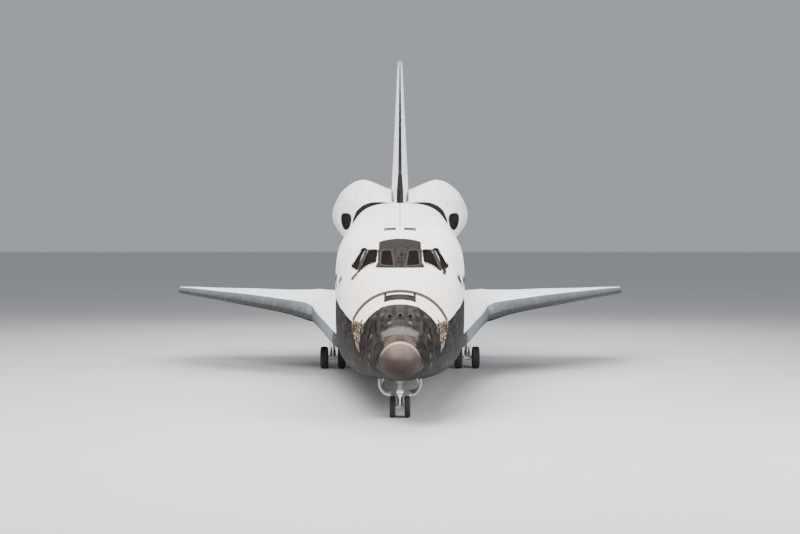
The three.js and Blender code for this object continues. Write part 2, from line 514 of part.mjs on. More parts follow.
const mainRing = (y, end) => wingRing(y, [...spread(rccX(y) + SEAM * 2, ELEVON_X, [0, 0.06, 0.15, 0.28, 0.45, 0.65, 0.82]), end ?? ELEVON_X]);
let wing = loft(WING_Y.map((y) => mainRing(y)), XZ);
wing = wing.add(loft([ELEVON_OUT + 0.8, TIP_Y].map((y) => wingRing(y, [...spread(rccX(y) + SEAM * 2, ELEVON_X, [0, 0.06, 0.15, 0.28, 0.45, 0.65, 0.82]), ELEVON_X, teX(y)])), XZ));
// inboard of the leading edge panels the glove front is part of the wing
wing = wing.add(loft([WING_ROOT, 99, RCC_IN - SEAM].map((y) => wingRing(y, spread(Math.max(leX(y), GLOVE_X - 20), rccX(y) + 3, [0, 0.02, 0.08, 0.2, 0.45, 1]))), XZ));

const elevonHalf = (y) => (wingZ(ELEVON_X, y)[0] - wingZ(ELEVON_X, y)[1]) / 2;
const elevonMid = (y) => (wingZ(ELEVON_X, y)[0] + wingZ(ELEVON_X, y)[1]) / 2;
const ELEVONS = [['inboard_elevon', ELEVON_IN, ELEVON_SPLIT - ELEVON_GAP], ['outboard_elevon', ELEVON_SPLIT + ELEVON_GAP, ELEVON_OUT]];
for (const [name, y0, y1] of ELEVONS) {
  const r0 = elevonHalf(y0), r1 = elevonHalf(y1), z0 = elevonMid(y0), z1 = elevonMid(y1);
  // the wing stops short of a round seat about the hinge line, wider than the wing is thick there
  let seat = 0;
  for (let k = 0; k <= 20; k++) {
    const y = lerp(y0, y1, k / 20);
    seat = Math.max(seat, elevonHalf(y) + Math.abs(elevonMid(y) - lerp(z0, z1, k / 20)) - lerp(r0, r1, k / 20));
  }
  const ends = [y0 - (name[0] === 'i' ? 30 : ELEVON_GAP), y1 + (name[0] === 'i' ? ELEVON_GAP : 0.8)].map((y) => {
    const k = (y - y0) / (y1 - y0);
    return [y, lerp(z0, z1, k), lerp(r0, r1, k) + seat + 0.9];
  });
  wing = wing.subtract(rod([ELEVON_X, ends[0][0], ends[0][1]], [ELEVON_X, ends[1][0], ends[1][1]], ends[0][2], ends[1][2], 28));
  const section = (y, r, zc) => {
    const te = teX(y), [tu, tl] = wingZ(te, y), pts = [[te, y, tu], [te, y, tl]];
    for (const a of [270, 240, 210, 180, 150, 120, 90]) pts.push([ELEVON_X + r * Math.cos(deg(a)), y, zc + r * Math.sin(deg(a))]);
    return pts;
  };
  const e = loft([section(y0, r0 - 0.3, z0), section(y1, r1 - 0.3, z1)], XZ);
  parts[`${name}_port`] = e;
  parts[`${name}_starboard`] = mirrored(e);
}
// wheel well in the wing, open downwards
const MAIN_WELL = { x0: 1048, x1: 1196, y0: 109.5, y1: 166, top: 308 };
wing = wing.subtract(block(MAIN_WELL.x0, MAIN_WELL.x1, MAIN_WELL.y0, MAIN_WELL.y1, 230, MAIN_WELL.top));
wing = wing.subtract(bodyShell(560, 1521, { grow: SEAM * 1.2 }));
parts.wing_port = wing;
parts.wing_starboard = mirrored(wing);

const rccRing = (y) => wingRing(y, spread(leX(y), rccX(y), [0, 0.02, 0.08, 0.2, 0.45, 1]));
const rcc = loft([RCC_IN, 130, 150, RCC_KINK, KINK_Y, 190, 225, ELEVON_SPLIT, 380, ELEVON_OUT, TIP_Y].map(rccRing), XZ);
parts.leading_edge_port = rcc;
parts.leading_edge_starboard = mirrored(rcc);

// ------------------------------------------------------------ body flap
{
  const c = [FLAP.x, FLAP.z - 2], pts = [[FLAP.x + FLAP.chord, c[1] + 1.6], [FLAP.x + FLAP.chord, c[1] - 1.6]];
  for (const a of [270, 240, 210, 180, 150, 120, 90]) pts.push([c[0] + FLAP.r * Math.cos(deg(a)), c[1] + FLAP.r * Math.sin(deg(a))]);
  parts.body_flap = prism(pts, 'y', -FLAP.half, FLAP.half);
}

// ------------------------------------------------------------ landing gear
const groundZ = (x) => GROUND_Z + GROUND_SLOPE * (GROUND_X - x);
const up = [GROUND_SLOPE / Math.hypot(1, GROUND_SLOPE), 1 / Math.hypot(1, GROUND_SLOPE)];
const axleOver = (x, r) => [x + up[0] * r, groundZ(x) + up[1] * r];
const tyreProfile = (r, w, hub) => [[-w / 2, hub], [-w / 2, r * 0.85], [-w * 0.27, r], [w * 0.27, r], [w / 2, r * 0.85], [w / 2, hub], [-w / 2, hub]];
function tyre(x, y, z, r, w, hub) {
  return turned(tyreProfile(r, w, hub), [x, y, z], [0, 1, 0], 32);
}
function axle(x, z, y, off, w, hub, bar) {
  const a = off + w / 2 - 1.2, b = off - w / 2 + 1.2, rim = hub - 0.25;
  return turned([[-a, 0], [-a, rim], [-b, rim], [-b, bar], [b, bar], [b, rim], [a, rim], [a, 0]], [x, y, z], [0, 1, 0], 24);
}
{
  const G = MAIN_GEAR, [ax, az] = axleOver(G.x, G.r), hub = 10.5, bar = 3;
  const port = {};
  port.outer_tyre = tyre(ax, G.y + G.off, az, G.r, G.w, hub);
  port.inner_tyre = tyre(ax, G.y - G.off, az, G.r, G.w, hub);
  port.main_axle = axle(ax, az, G.y, G.off, G.w, hub, bar);
  const top = MAIN_WELL.top - 0.4, px = G.x;
  let leg = rod([px, G.y, az + 3], [px, G.y, top], 6.6, 7.6, 20)
    .add(rod([ax, G.y - 6.5, az], [ax, G.y + 6.5, az], 5.8, 5.8, 16))
    .add(rod([px - 2, G.y, az + 40], [px - 92, G.y - 2, top - 3], 2.6, 3, 12))
    .add(rod([px, G.y - 4, az + 72], [px, MAIN_WELL.y0 + 3.5, top - 4], 2.6, 2.6, 12))
    .add(rod([px, G.y + 4, az + 72], [px, MAIN_WELL.y1 - 4.5, top - 4], 2.6, 2.6, 12));
  leg = leg.subtract(rod([ax, G.y - 9, az], [ax, G.y + 9, az], bar + 0.4, bar + 0.4, 24));
  port.main_leg = leg;
  // one door on each side, hinged along the inner edge and hanging open
  port.main_gear_door = prism([[MAIN_WELL.x0 + 3, 266.5], [MAIN_WELL.x1 - 3, 266.5], [MAIN_WELL.x1 - 3, 216], [MAIN_WELL.x1 - 14, 211], [MAIN_WELL.x0 + 24, 211], [MAIN_WELL.x0 + 3, 226]], 'y', MAIN_WELL.y0 - 3.2, MAIN_WELL.y0 - 0.8);
  for (const [name, m] of Object.entries(port)) {
    parts[`${name}_port`] = m;
    parts[`${name}_starboard`] = mirrored(m);
  }
}
{
  const G = NOSE_GEAR, [ax, az] = axleOver(G.x, G.r), hub = 7.6, bar = 2;
  parts.nose_tyre_port = tyre(ax, G.off, az, G.r, G.w, hub);
  parts.nose_tyre_starboard = mirrored(parts.nose_tyre_port);
  parts.nose_axle = axle(ax, az, 0, G.off, G.w, hub, bar);
  const top = WELL.top - 0.4, split = az + 24;
  parts.nose_leg = rod([G.x, 0, split + 0.3], [G.x, 0, top], 4.6, 5, 20)
    .add(rod([G.x - 1, 0, split + 14], [G.x - 44, 0, top - 4], 1.9, 2.2, 12))
    .add(rod([G.x, 3, split + 12], [G.x, WELL.half - 4, top - 14], 1.8, 1.8, 12))
    .add(rod([G.x, -3, split + 12], [G.x, 4 - WELL.half, top - 14], 1.8, 1.8, 12));
  parts.nose_fork = rod([G.x, 0, az + 2], [G.x, 0, split], 3.6, 3.6, 20)
    .add(rod([ax, -4.2, az], [ax, 4.2, az], 4, 4, 20))
    .add(rod([G.x, 0, split - 3], [G.x, 0, split], 5, 5, 20))
    .subtract(rod([ax, -8, az], [ax, 8, az], bar + 0.35, bar + 0.35, 24));
  // two curved doors hanging from the sides of the well: half width, drop below the belly
  const DOOR = [[31.2, 1.2], [30.8, 5.8], [29.2, 10.8], [26.6, 15.4], [23.2, 19.1], [18.6, 21.2], [13, 21.7]];
  const doorRing = (x) => {
    const low = table(BODY, x, 2), k = lerp(1, 0.7, (x - WELL.x0) / (WELL.x1 - WELL.x0));
    return [...DOOR.map(([y, d]) => [x, y, low - k * d]), ...[...DOOR].reverse().map(([y, d], i) => [x, y - (i > 3 ? 1.9 : 1), low - k * d + (i > 3 ? 0 : 1.7)])];
  };
  const door = loft([WELL.x0 + 5, 346, WELL.x1 - 7].map(doorRing), YZ);
  parts.nose_gear_door_port = door;
  parts.nose_gear_door_starboard = mirrored(door);
}

// ------------------------------------------------------------ assembly
const LOOKS = [                     // name starts with, colour, roughness, metalness
  ['nose_cap', 0x7d6c61, 0.62, 0.1],
  ['leading_edge', 0x82878a, 0.6, 0.1],
  ['forward_rcs', 0xd9d4cc, 0.8, 0],
  ['front_window', 0x10151a, 0.08, 0], ['middle_window', 0x10151a, 0.08, 0], ['side_window', 0x10151a, 0.08, 0],
  ['overhead_window', 0x10151a, 0.08, 0], ['hatch_window', 0x10151a, 0.08, 0],
  ['main_engine', 0x8c8680, 0.4, 0.8], ['oms_engine', 0x6f6a66, 0.45, 0.7],
  ['outer_tyre', 0x1b1b1c, 0.9, 0], ['inner_tyre', 0x1b1b1c, 0.9, 0], ['nose_tyre', 0x1b1b1c, 0.9, 0],
  ['main_axle', 0xb6b4ae, 0.45, 0.6], ['nose_axle', 0xb6b4ae, 0.45, 0.6],
  ['main_leg', 0xe2e0da, 0.5, 0.2], ['nose_leg', 0xe2e0da, 0.5, 0.2], ['nose_fork', 0xc9c6bf, 0.4, 0.6],
  ['rudder_shaft', 0x777777, 0.5, 0.6], ['instrument_panel', 0x55585a, 0.6, 0.1], ['flight_deck', 0x6f7376, 0.8, 0],
  ['commander_chair', 0x44484c, 0.8, 0], ['pilot_chair', 0x44484c, 0.8, 0], ['body_flap', 0x2e2b2a, 0.85, 0],
];
const skin = [0xe6e5e1, 0.85, 0];
const orbiter = new THREE.Group();
orbiter.name = 'orbiter';
for (const [name, m] of Object.entries(parts)) {
  const found = LOOKS.find(([start]) => name.startsWith(start));
  const [color, roughness, metalness] = found ? found.slice(1) : skin;
  const mesh = new THREE.Mesh(geometryOf(m), new THREE.MeshStandardMaterial({ color, roughness, metalness }));
  mesh.name = name;
  orbiter.add(mesh);
}
// turn the ground line level, then stand the vehicle on it, centred
const stand = new THREE.Group();
stand.rotation.x = Math.atan(GROUND_SLOPE);
stand.add(orbiter);
stand.updateMatrixWorld(true);
const box = new THREE.Box3().setFromObject(stand, true);
stand.position.set(0, -(box.min.y + box.max.y) / 2, -box.min.z);
stand.updateMatrixWorld(true);
const root = new THREE.Group();
root.add(stand);

export default root;
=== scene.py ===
import math

import bmesh
import bpy
import numpy as np
from mathutils import Matrix, Vector


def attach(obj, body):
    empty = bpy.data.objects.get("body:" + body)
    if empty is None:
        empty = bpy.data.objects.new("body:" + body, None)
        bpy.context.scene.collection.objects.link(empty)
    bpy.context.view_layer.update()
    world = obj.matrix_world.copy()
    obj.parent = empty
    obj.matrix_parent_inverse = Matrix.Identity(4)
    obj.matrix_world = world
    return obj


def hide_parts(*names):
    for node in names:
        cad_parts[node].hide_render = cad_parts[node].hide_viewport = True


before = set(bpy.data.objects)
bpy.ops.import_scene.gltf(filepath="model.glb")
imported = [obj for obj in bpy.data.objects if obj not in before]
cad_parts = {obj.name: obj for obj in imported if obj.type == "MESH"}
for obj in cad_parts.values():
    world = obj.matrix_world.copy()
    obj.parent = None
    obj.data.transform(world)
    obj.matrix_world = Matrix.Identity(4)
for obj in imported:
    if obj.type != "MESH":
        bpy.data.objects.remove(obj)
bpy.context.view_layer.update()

# ---------------------------------------------------------------- frame
# Shapes are worked out in station inches (x aft, y to port, z up) and turned
# to row-frame metres when a piece is made.
IN = 0.0254
COS, SIN = 0.9975589671416267, 0.06982912769991388
TY, TZ = 1.0140665514979554, -4.768608821935373


def row(p):
    p = np.asarray(p, float)
    x, y, z = (p[..., 0] - 970) * IN, p[..., 1] * IN, p[..., 2] * IN
    return np.stack([y, COS * x - SIN * z + TY, SIN * x + COS * z + TZ], -1)


def pchip(xs, ys):
    xs, ys = np.asarray(xs, float), np.asarray(ys, float)
    h = np.diff(xs)
    d = np.diff(ys) / h
    m = np.zeros(len(xs))
    m[0], m[-1] = d[0], d[-1]
    for i in range(1, len(xs) - 1):
        if d[i - 1] * d[i] > 0:
            a, b = 2 * h[i] + h[i - 1], h[i] + 2 * h[i - 1]
            m[i] = (a + b) / (a / d[i - 1] + b / d[i])

    def f(x):
        x = np.clip(np.asarray(x, float), xs[0], xs[-1])
        i = np.clip(np.searchsorted(xs, x) - 1, 0, len(xs) - 2)
        t = (x - xs[i]) / h[i]
        return (
            (1 + 2 * t) * (1 - t) ** 2 * ys[i] + t * (1 - t) ** 2 * h[i] * m[i]
            + t * t * (3 - 2 * t) * ys[i + 1] + t * t * (t - 1) * h[i] * m[i + 1]
        )

    return f


def lerp(a, b, t):
    return a + (b - a) * t


# ---------------------------------------------------------------- body sections
BODY = np.array([
    [238.4, 333.5, 328.5, 2.5, 331, 2, 2], [240, 339.3, 322, 10.5, 331, 2, 2], [244, 345.3, 316.4, 17, 331, 2, 2],
    [250, 351.3, 311.8, 22.3, 331, 2, 2], [258, 357.8, 307.8, 26.8, 331.3, 2.05, 2], [266, 364, 304.8, 31, 331.8, 2.1, 2],
    [280, 374, 301.2, 38.6, 332.5, 2.15, 2], [300, 387.6, 297.3, 48.5, 334, 2.2, 2], [320, 398.8, 294, 57, 336, 2.3, 2.05],
    [350, 409.5, 289.2, 68, 338.5, 2.5, 2.1], [380, 418.2, 284.8, 76, 341, 2.7, 2.15], [410, 428.5, 281, 83, 344, 2.9, 2.2],
    [430, 436.8, 279.2, 86.6, 346, 3.05, 2.3], [446, 444.3, 277.8, 89.3, 347.5, 3.2, 2.45], [458, 456, 277, 91.3, 349.5, 3.3, 2.7],
    [478, 475, 275.8, 94, 353, 3.4, 3], [500, 485.2, 274.7, 96.5, 358, 3.7, 3.2], [520, 492, 273.8, 98.5, 364, 4, 3.3],
    [560, 499, 272.4, 102, 380, 4.8, 3.5], [580, 501, 271.8, 103.5, 392, 5.4, 3.55], [640, 503, 270.5, 105, 400, 6, 3.4],
    [1307, 503, 268, 105, 400, 6, 3], [1400, 503, 268.5, 106.5, 400, 6.5, 2.9], [1480, 501, 272, 109, 399, 7, 2.8],
    [1535, 498, 277, 111, 398, 7, 2.8],
])
TOP, LOW, HALF, MID, NL, NU = [pchip(BODY[:, 0], BODY[:, k]) for k in range(1, 7)]


def body_pts(xs, phi, grow=0.0):
    x, f = np.asarray(xs, float)[:, None], np.asarray(phi, float)[None, :]
    c, s = np.cos(f), np.sin(f)
    n = np.where(s >= 0, NU(x), NL(x))
    rho = (np.abs(c) ** n + np.abs(s) ** n) ** (-1 / n)
    h = np.where(s >= 0, TOP(x) - MID(x), MID(x) - LOW(x)) + grow
    return np.stack([x + 0 * f, (HALF(x) + grow) * rho * c, MID(x) + h * rho * s], -1)


def level(p):
    """Over 1 outside the body, under 1 inside."""
    x, y, z = p[..., 0], p[..., 1], p[..., 2]
    up = z >= MID(x)
    h = np.where(up, TOP(x) - MID(x), MID(x) - LOW(x))
    n = np.where(up, NU(x), NL(x))
    return ((np.abs(y) / HALF(x)) ** n + (np.abs(z - MID(x)) / h) ** n) ** (1 / n)


def skin_x(y, z):
    xs = np.arange(239, 700, 0.25)
    p = np.stack([xs, np.full_like(xs, y), np.full_like(xs, z)], -1)
    inside = np.nonzero(level(p) <= 1)[0]
    return float(xs[inside[0]]) if len(inside) else 700.0


def skin_z(x, y):
    """Height of the body's top at (x, y)."""
    return float(MID(x) + (TOP(x) - MID(x)) * (1 - (abs(y) / HALF(x)) ** NU(x)) ** (1 / NU(x)))


_GX = np.concatenate([np.arange(238.4, 300, 1.0), np.arange(300, 640, 3.0), np.arange(640, 1536, 12.0)])
_GF = np.linspace(np.pi / 2, -np.pi / 2, 241)
_GP = body_pts(_GX, _GF)
_GV = np.concatenate([np.zeros((len(_GX), 1)), np.cumsum(np.linalg.norm(np.diff(_GP, axis=1), axis=-1), axis=1)], 1)
_GU = np.concatenate([[0], np.cumsum(np.mean(np.linalg.norm(np.diff(_GP[:, 20:160:20], axis=0), axis=-1), axis=1))])


def body_tc(p):
    """Distance along the body and around it from the top, in inches."""
    x, y, z = p[..., 0], p[..., 1], p[..., 2]
    h = np.where(z >= MID(x), TOP(x) - MID(x), MID(x) - LOW(x))
    f = np.arctan2((z - MID(x)) / h, np.abs(y) / HALF(x))
    i = np.interp(x, _GX, np.arange(len(_GX)))
    j = np.interp(-f, -_GF, np.arange(len(_GF)))
    i0, j0 = np.minimum(i.astype(int), len(_GX) - 2), np.minimum(j.astype(int), len(_GF) - 2)
    a, b = i - i0, j - j0
    v = (_GV[i0, j0] * (1 - a) + _GV[i0 + 1, j0] * a) * (1 - b) + (_GV[i0, j0 + 1] * (1 - a) + _GV[i0 + 1, j0 + 1] * a) * b
    return np.stack([np.interp(x, _GX, _GU), v, f * 60], -1)


# ---------------------------------------------------------------- node helper
class V:
    def __init__(self, g, s):
        self.g, self.s = g, s

    def __add__(a, b): return a.g.math("ADD", a, b)
    def __radd__(a, b): return a.g.math("ADD", b, a)
    def __sub__(a, b): return a.g.math("SUBTRACT", a, b)
    def __rsub__(a, b): return a.g.math("SUBTRACT", b, a)
    def __mul__(a, b): return a.g.math("MULTIPLY", a, b)
    def __rmul__(a, b): return a.g.math("MULTIPLY", b, a)
    def __truediv__(a, b): return a.g.math("DIVIDE", a, b)
    def __pow__(a, b): return a.g.math("POWER", a, b)
    def __abs__(a): return a.g.math("ABSOLUTE", a)
    def __neg__(a): return a.g.math("MULTIPLY", a, -1.0)
    def floor(a): return a.g.math("FLOOR", a)
    def fract(a): return a.g.math("FRACT", a)
    def clamp(a): return a.g.math("ADD", a, 0.0, clamp=True)


class Mat:
    """A procedural material under construction."""

    def __init__(self, name, rough=0.7, metal=0.0, **more):
        self.m = bpy.data.materials.new(name)
        self.m.use_nodes = True
        self.t = self.m.node_tree
        self.t.nodes.clear()
        out = self.t.nodes.new("ShaderNodeOutputMaterial")
        self.b = self.t.nodes.new("ShaderNodeBsdfPrincipled")
        self.t.links.new(self.b.outputs[0], out.inputs[0])
        self.set("Roughness", rough)
        self.set("Metallic", metal)
        for k, v in more.items():
            self.set(k.replace("_", " "), v)

    def set(self, name, v):
        self.put(v, self.b.inputs[name])

    def put(self, v, socket):
        if isinstance(v, V):
            self.t.links.new(v.s, socket)
        elif isinstance(v, tuple) and len(v) == 3 and socket.type == "RGBA":
            socket.default_value = (*v, 1)
        else:
            socket.default_value = v

    def math(self, op, *args, clamp=False):
        n = self.t.nodes.new("ShaderNodeMath")
        n.operation, n.use_clamp = op, clamp
        for i, a in enumerate(args):
            self.put(a, n.inputs[i])
        return V(self, n.outputs[0])

    def lo(self, *a):
        r = a[0]
        for b in a[1:]:
            r = self.math("MINIMUM", r, b)
        return r

    def hi(self, *a):
        r = a[0]
        for b in a[1:]:
            r = self.math("MAXIMUM", r, b)
        return r

    def edge(self, d, width):
        """0 to 1 as d goes from -width/2 to width/2."""
        return self.math("MULTIPLY_ADD", d, 1 / width, 0.5, clamp=True)

    def attr(self, name, vector=False):
        n = self.t.nodes.new("ShaderNodeAttribute")
        n.attribute_name = name
        return V(self, n.outputs["Vector" if vector else "Fac"])

    def obj(self):
        return V(self, self.t.nodes.new("ShaderNodeTexCoord").outputs["Object"])

    def sep(self, v):
        n = self.t.nodes.new("ShaderNodeSeparateXYZ")
        self.put(v, n.inputs[0])
        return [V(self, o) for o in n.outputs]

    def vec(self, x, y, z=0.0):
        n = self.t.nodes.new("ShaderNodeCombineXYZ")
        for a, i in zip((x, y, z), n.inputs):
            self.put(a, i)
        return V(self, n.outputs[0])

    def noise(self, v, scale, detail=3.0, rough=0.55, distortion=0.0):
        n = self.t.nodes.new("ShaderNodeTexNoise")
        self.put(v, n.inputs["Vector"])
        n.inputs["Scale"].default_value = scale
        n.inputs["Detail"].default_value = detail
        n.inputs["Roughness"].default_value = rough
        n.inputs["Distortion"].default_value = distortion
        return V(self, n.outputs["Fac"] if "Fac" in n.outputs else n.outputs[0])

    def white(self, v):
        n = self.t.nodes.new("ShaderNodeTexWhiteNoise")
        n.noise_dimensions = "3D"
        self.put(v, n.inputs["Vector"])
        return V(self, n.outputs["Value"])

    def mix(self, f, a, b):
        n = self.t.nodes.new("ShaderNodeMix")
        n.data_type = "RGBA"
        self.put(f, n.inputs[0])
        self.put(a, n.inputs[6])
        self.put(b, n.inputs[7])
        return V(self, n.outputs[2])

    def blend(self, f, a, b):
        return self.math("MULTIPLY_ADD", f, b - a, a) if isinstance(a, V) or isinstance(b, V) else self.math("MULTIPLY_ADD", f, b - a, a)

    def shade(self, colour, amount):
        """Multiply a colour by a value."""
        n = self.t.nodes.new("ShaderNodeVectorMath")
        n.operation = "SCALE"
        self.put(colour, n.inputs[0])
        self.put(amount, n.inputs["Scale"])
        return V(self, n.outputs[0])

    def bump(self, height, distance, strength=1.0):
        n = self.t.nodes.new("ShaderNodeBump")
        n.inputs["Strength"].default_value = strength
        n.inputs["Distance"].default_value = distance
        self.put(height, n.inputs["Height"])
        self.t.links.new(n.outputs[0], self.b.inputs["Normal"])

    def tiles(self, u, v, size, gap=0.06, shift=0.0, stagger=False):
        """A random number for each square tile, and 1 in the gaps."""
        a, b = u / size, v / size
        if stagger:
            a = a + b.floor() * 0.5
        r = self.white(self.vec(a.floor(), b.floor(), shift))
        e = self.hi(abs(a.fract() - 0.5), abs(b.fract() - 0.5))
        return r, self.edge(e - (0.5 - gap), gap)


def white_tones(g, u, v, st, warm=None):
    """Colour of worn white insulation: blankets or tiles, grime and streaks."""
    r, gap = g.tiles(u, v, 8.0, 0.035)
    big, _ = g.tiles(u, v, 40.0, 0.02, 7.0)
    n1 = g.noise(st, 0.02, 4.0)
    n2 = g.noise(st, 0.16, 3.0)
    tone = 0.77 + 0.06 * r + 0.05 * big + 0.12 * n1 + 0.05 * n2 - gap * 0.10
    c = g.shade(g.mix(n1, (0.93, 0.94, 0.95), (0.98, 0.96, 0.93)), tone)
    if warm is not None:
        c = g.mix(warm, c, g.shade((1.0, 0.93, 0.84), tone * 0.98))
    return c, gap, r


def black_tones(g, u, v, st, size=6.0, wear=1.0):
    r, gap = g.tiles(u, v, size, 0.07, 3.0)
    n1 = g.noise(st, 0.035, 4.0)
    n2 = g.noise(st, 0.25, 4.0, 0.7)
    f = (r * 0.6 + n1 * 1.1 + n2 * 0.5 - 0.86).clamp()
    c = g.mix(f * wear, (0.005, 0.0045, 0.0048), (0.062, 0.050, 0.042))
    c = g.mix(g.edge(r - 0.968, 0.02) * 0.4 * wear, c, (0.15, 0.125, 0.105))
    c = g.mix(gap * 0.5, c, (0.014, 0.012, 0.0115))
    return c, gap, r


def simple(name, a, b, scale=2.0, rough=0.6, metal=0.0, detail=4.0, bump=0.0, **more):
    """Two tones mixed by noise in the object's own space."""
    g = Mat(name, rough, metal, **more)
    o = g.obj()
    n = g.noise(o, scale, detail)
    f = g.edge(n - 0.5, 0.45)
    g.set("Base Color", g.mix(f, a, b))
    g.set("Roughness", g.math("MULTIPLY_ADD", n, 0.18, rough - 0.09, clamp=True))
    if bump:
        g.bump(g.noise(o, scale * 6, 3.0), bump)
    return g.m


# ---------------------------------------------------------------- materials
def make_skin():
    g = Mat("body_insulation", 0.78, Specular_IOR_Level=0.12)
    st = g.attr("st", True)
    x, y, z = g.sep(st)
    u, v, _ = g.sep(g.attr("tc", True))
    ay = abs(y)
    white, wgap, _ = white_tones(g, u, v, st, g.edge(-(x - 470), 160.0))
    black, bgap, br = black_tones(g, u, v, st)
    rag = (g.white(g.vec((u / 6.0).floor(), (v / 6.0).floor(), 9.0)) - 0.5)
    fine = g.noise(st, 0.5, 3.0) - 0.5
    kb = g.edge(g.attr("black") + fine * 1.6, 0.7)
    c = g.mix(kb, white, black)
    # speckled wedge beside the thruster module
    sp = g.white(g.vec((u / 3.0).floor(), (v / 3.0).floor(), 2.0))
    wedge = g.shade(g.mix(g.edge(sp - 0.66, 0.5), (0.035, 0.022, 0.015), (0.36, 0.27, 0.19)), 0.5 + g.noise(st, 0.15) * 0.7)
    kw = g.edge(g.attr("wedge") + rag * 2.0, 0.8)
    c = g.mix(kw, c, wedge)
    # thruster module edge and the dark panel on top of it
    up = g.edge(z - 374.0, 1.0)
    seam = g.edge(5.6 - abs(x - 376.2), 0.8) * up
    c = g.mix(seam * 0.97, c, g.shade((0.050, 0.033, 0.024), 0.5 + 0.6 * g.noise(st, 0.4)))
    low_seam = g.edge(0.6 - abs(z - 374.3), 0.5) * g.edge(x - 332.0, 1.0) * g.edge(379.0 - x, 1.0)
    c = g.mix(low_seam * 0.8, c, (0.12, 0.09, 0.07))
    panel = g.edge(g.lo(x - 344.7, 376.7 - x, 23.2 - ay), 0.5) * up
    stripe = g.edge(g.lo(x - 365.6, 375.1 - x, 19.6 - ay), 0.5)
    pc = g.shade(g.mix(br, (0.010, 0.0065, 0.005), (0.042, 0.028, 0.021)), 0.5 + 0.6 * g.noise(st, 0.2))
    c = g.mix(panel * (1.0 - stripe * 0.92), c, pc)
    # pale worn crescent over the cap, and the dark band in front of it
    cres = g.lo(g.lo(x - 270.0 - (ay / 24.0) ** 2.0 * 3.0, 284.5 - x), 24.5 - ay) + fine * 7.0
    c = g.mix(g.edge(cres, 5.0) * 0.5 * g.edge(z - 355.0, 4.0), c, g.shade((0.27, 0.245, 0.225), 0.2 + 1.1 * g.noise(st, 0.3, 4.0)))
    band = g.lo(x - 260.0, 270.5 + (ay / 22.0) ** 2.0 * 6.0 - x, 23.0 - ay)
    c = g.mix(g.edge(band + fine * 1.5, 1.6) * g.edge(z - 350.0, 4.0), c, g.shade((0.072, 0.052, 0.042), 0.5 + 0.8 * br))
    # surround of the windshield
    win = g.edge(g.attr("window") + fine * 0.8, 0.6)
    r2, gap2 = g.tiles(x, y, 5.2, 0.06, 11.0)
    wc = g.mix(g.edge(r2 + g.noise(st, 0.2) - 0.9, 0.9), (0.009, 0.0073, 0.0072), (0.034, 0.0245, 0.0215))
    wc = g.mix(gap2 * 0.5, wc, (0.062, 0.050, 0.044))
    wc = g.mix(g.edge(z - 472.0, 6.0) * 0.72, wc, g.shade((0.0185, 0.0165, 0.0175), 0.7 + 0.6 * g.noise(st, 0.35)))
    c = g.mix(win, c, wc)
    # plate between the middle and side panes
    t = (z - 441.0) / 28.5
    strip = g.lo(ay - (62.0 - t * 13.5), (66.6 - t * 13.5) - ay, g.lo(z - 441.2, 470.5 - z))
    sc = g.shade((0.020, 0.019, 0.018), 0.7 + 0.6 * g.noise(st, 0.4))
    c = g.mix(g.edge(strip, 0.4) * g.edge(530.0 - x, 2.0), c, sc)
    # brown streaks and patches
    c = g.mix((g.attr("stain") * (0.85 + fine * 2.0)).clamp(), c, (0.035, 0.025, 0.019))
    # panel joints of the white side
    joint = g.hi(g.edge(0.35 - abs(x - 581.0), 0.4), g.edge(0.35 - abs(x - 1307.0), 0.4))
    sill = g.edge(0.45 - abs(z - 413.5), 0.4) * g.edge(x - 582.0, 1.0) * g.edge(1307.0 - x, 1.0)
    c = g.mix(g.hi(joint, sill) * 0.75, c, (0.09, 0.085, 0.08))
    # inner faces: dark
    c = g.mix(g.edge(g.attr("inner"), 0.02), c, g.shade((0.10, 0.095, 0.085), 0.6 + 0.7 * g.noise(st, 0.3)))
    g.set("Base Color", c)
    g.set("Roughness", g.math("MULTIPLY_ADD", kb, -0.22, 0.82))
    g.bump(g.math("MULTIPLY_ADD", g.hi(wgap * (1.0 - kb) * 0.4, bgap * kb), -1.0, g.noise(st, 0.4, 2.0) * 0.5), 0.012, 0.6)
    return g.m


def make_doors():
    g = Mat("bay_door_insulation", 0.8, Specular_IOR_Level=0.12)
    st = g.attr("st", True)
    x, y, z = g.sep(st)
    u, v, _ = g.sep(g.attr("tc", True))
    white, gap, _ = white_tones(g, u, v, st)
    k = ((x - 581.0) / 181.5).fract() - 0.5
    joint = g.edge(abs(k) - 0.4965, 0.002)
    mid = g.edge(0.7 - abs(y), 0.5)
    c = g.mix(g.hi(joint * 0.7, mid * 0.85), white, (0.12, 0.11, 0.10))
    front = g.edge(586.0 - x, 2.0)
    c = g.mix(front * 0.35, c, (0.25, 0.22, 0.19))
    g.set("Base Color", c)
    g.bump(-gap - joint, 0.01, 0.6)
    return g.m


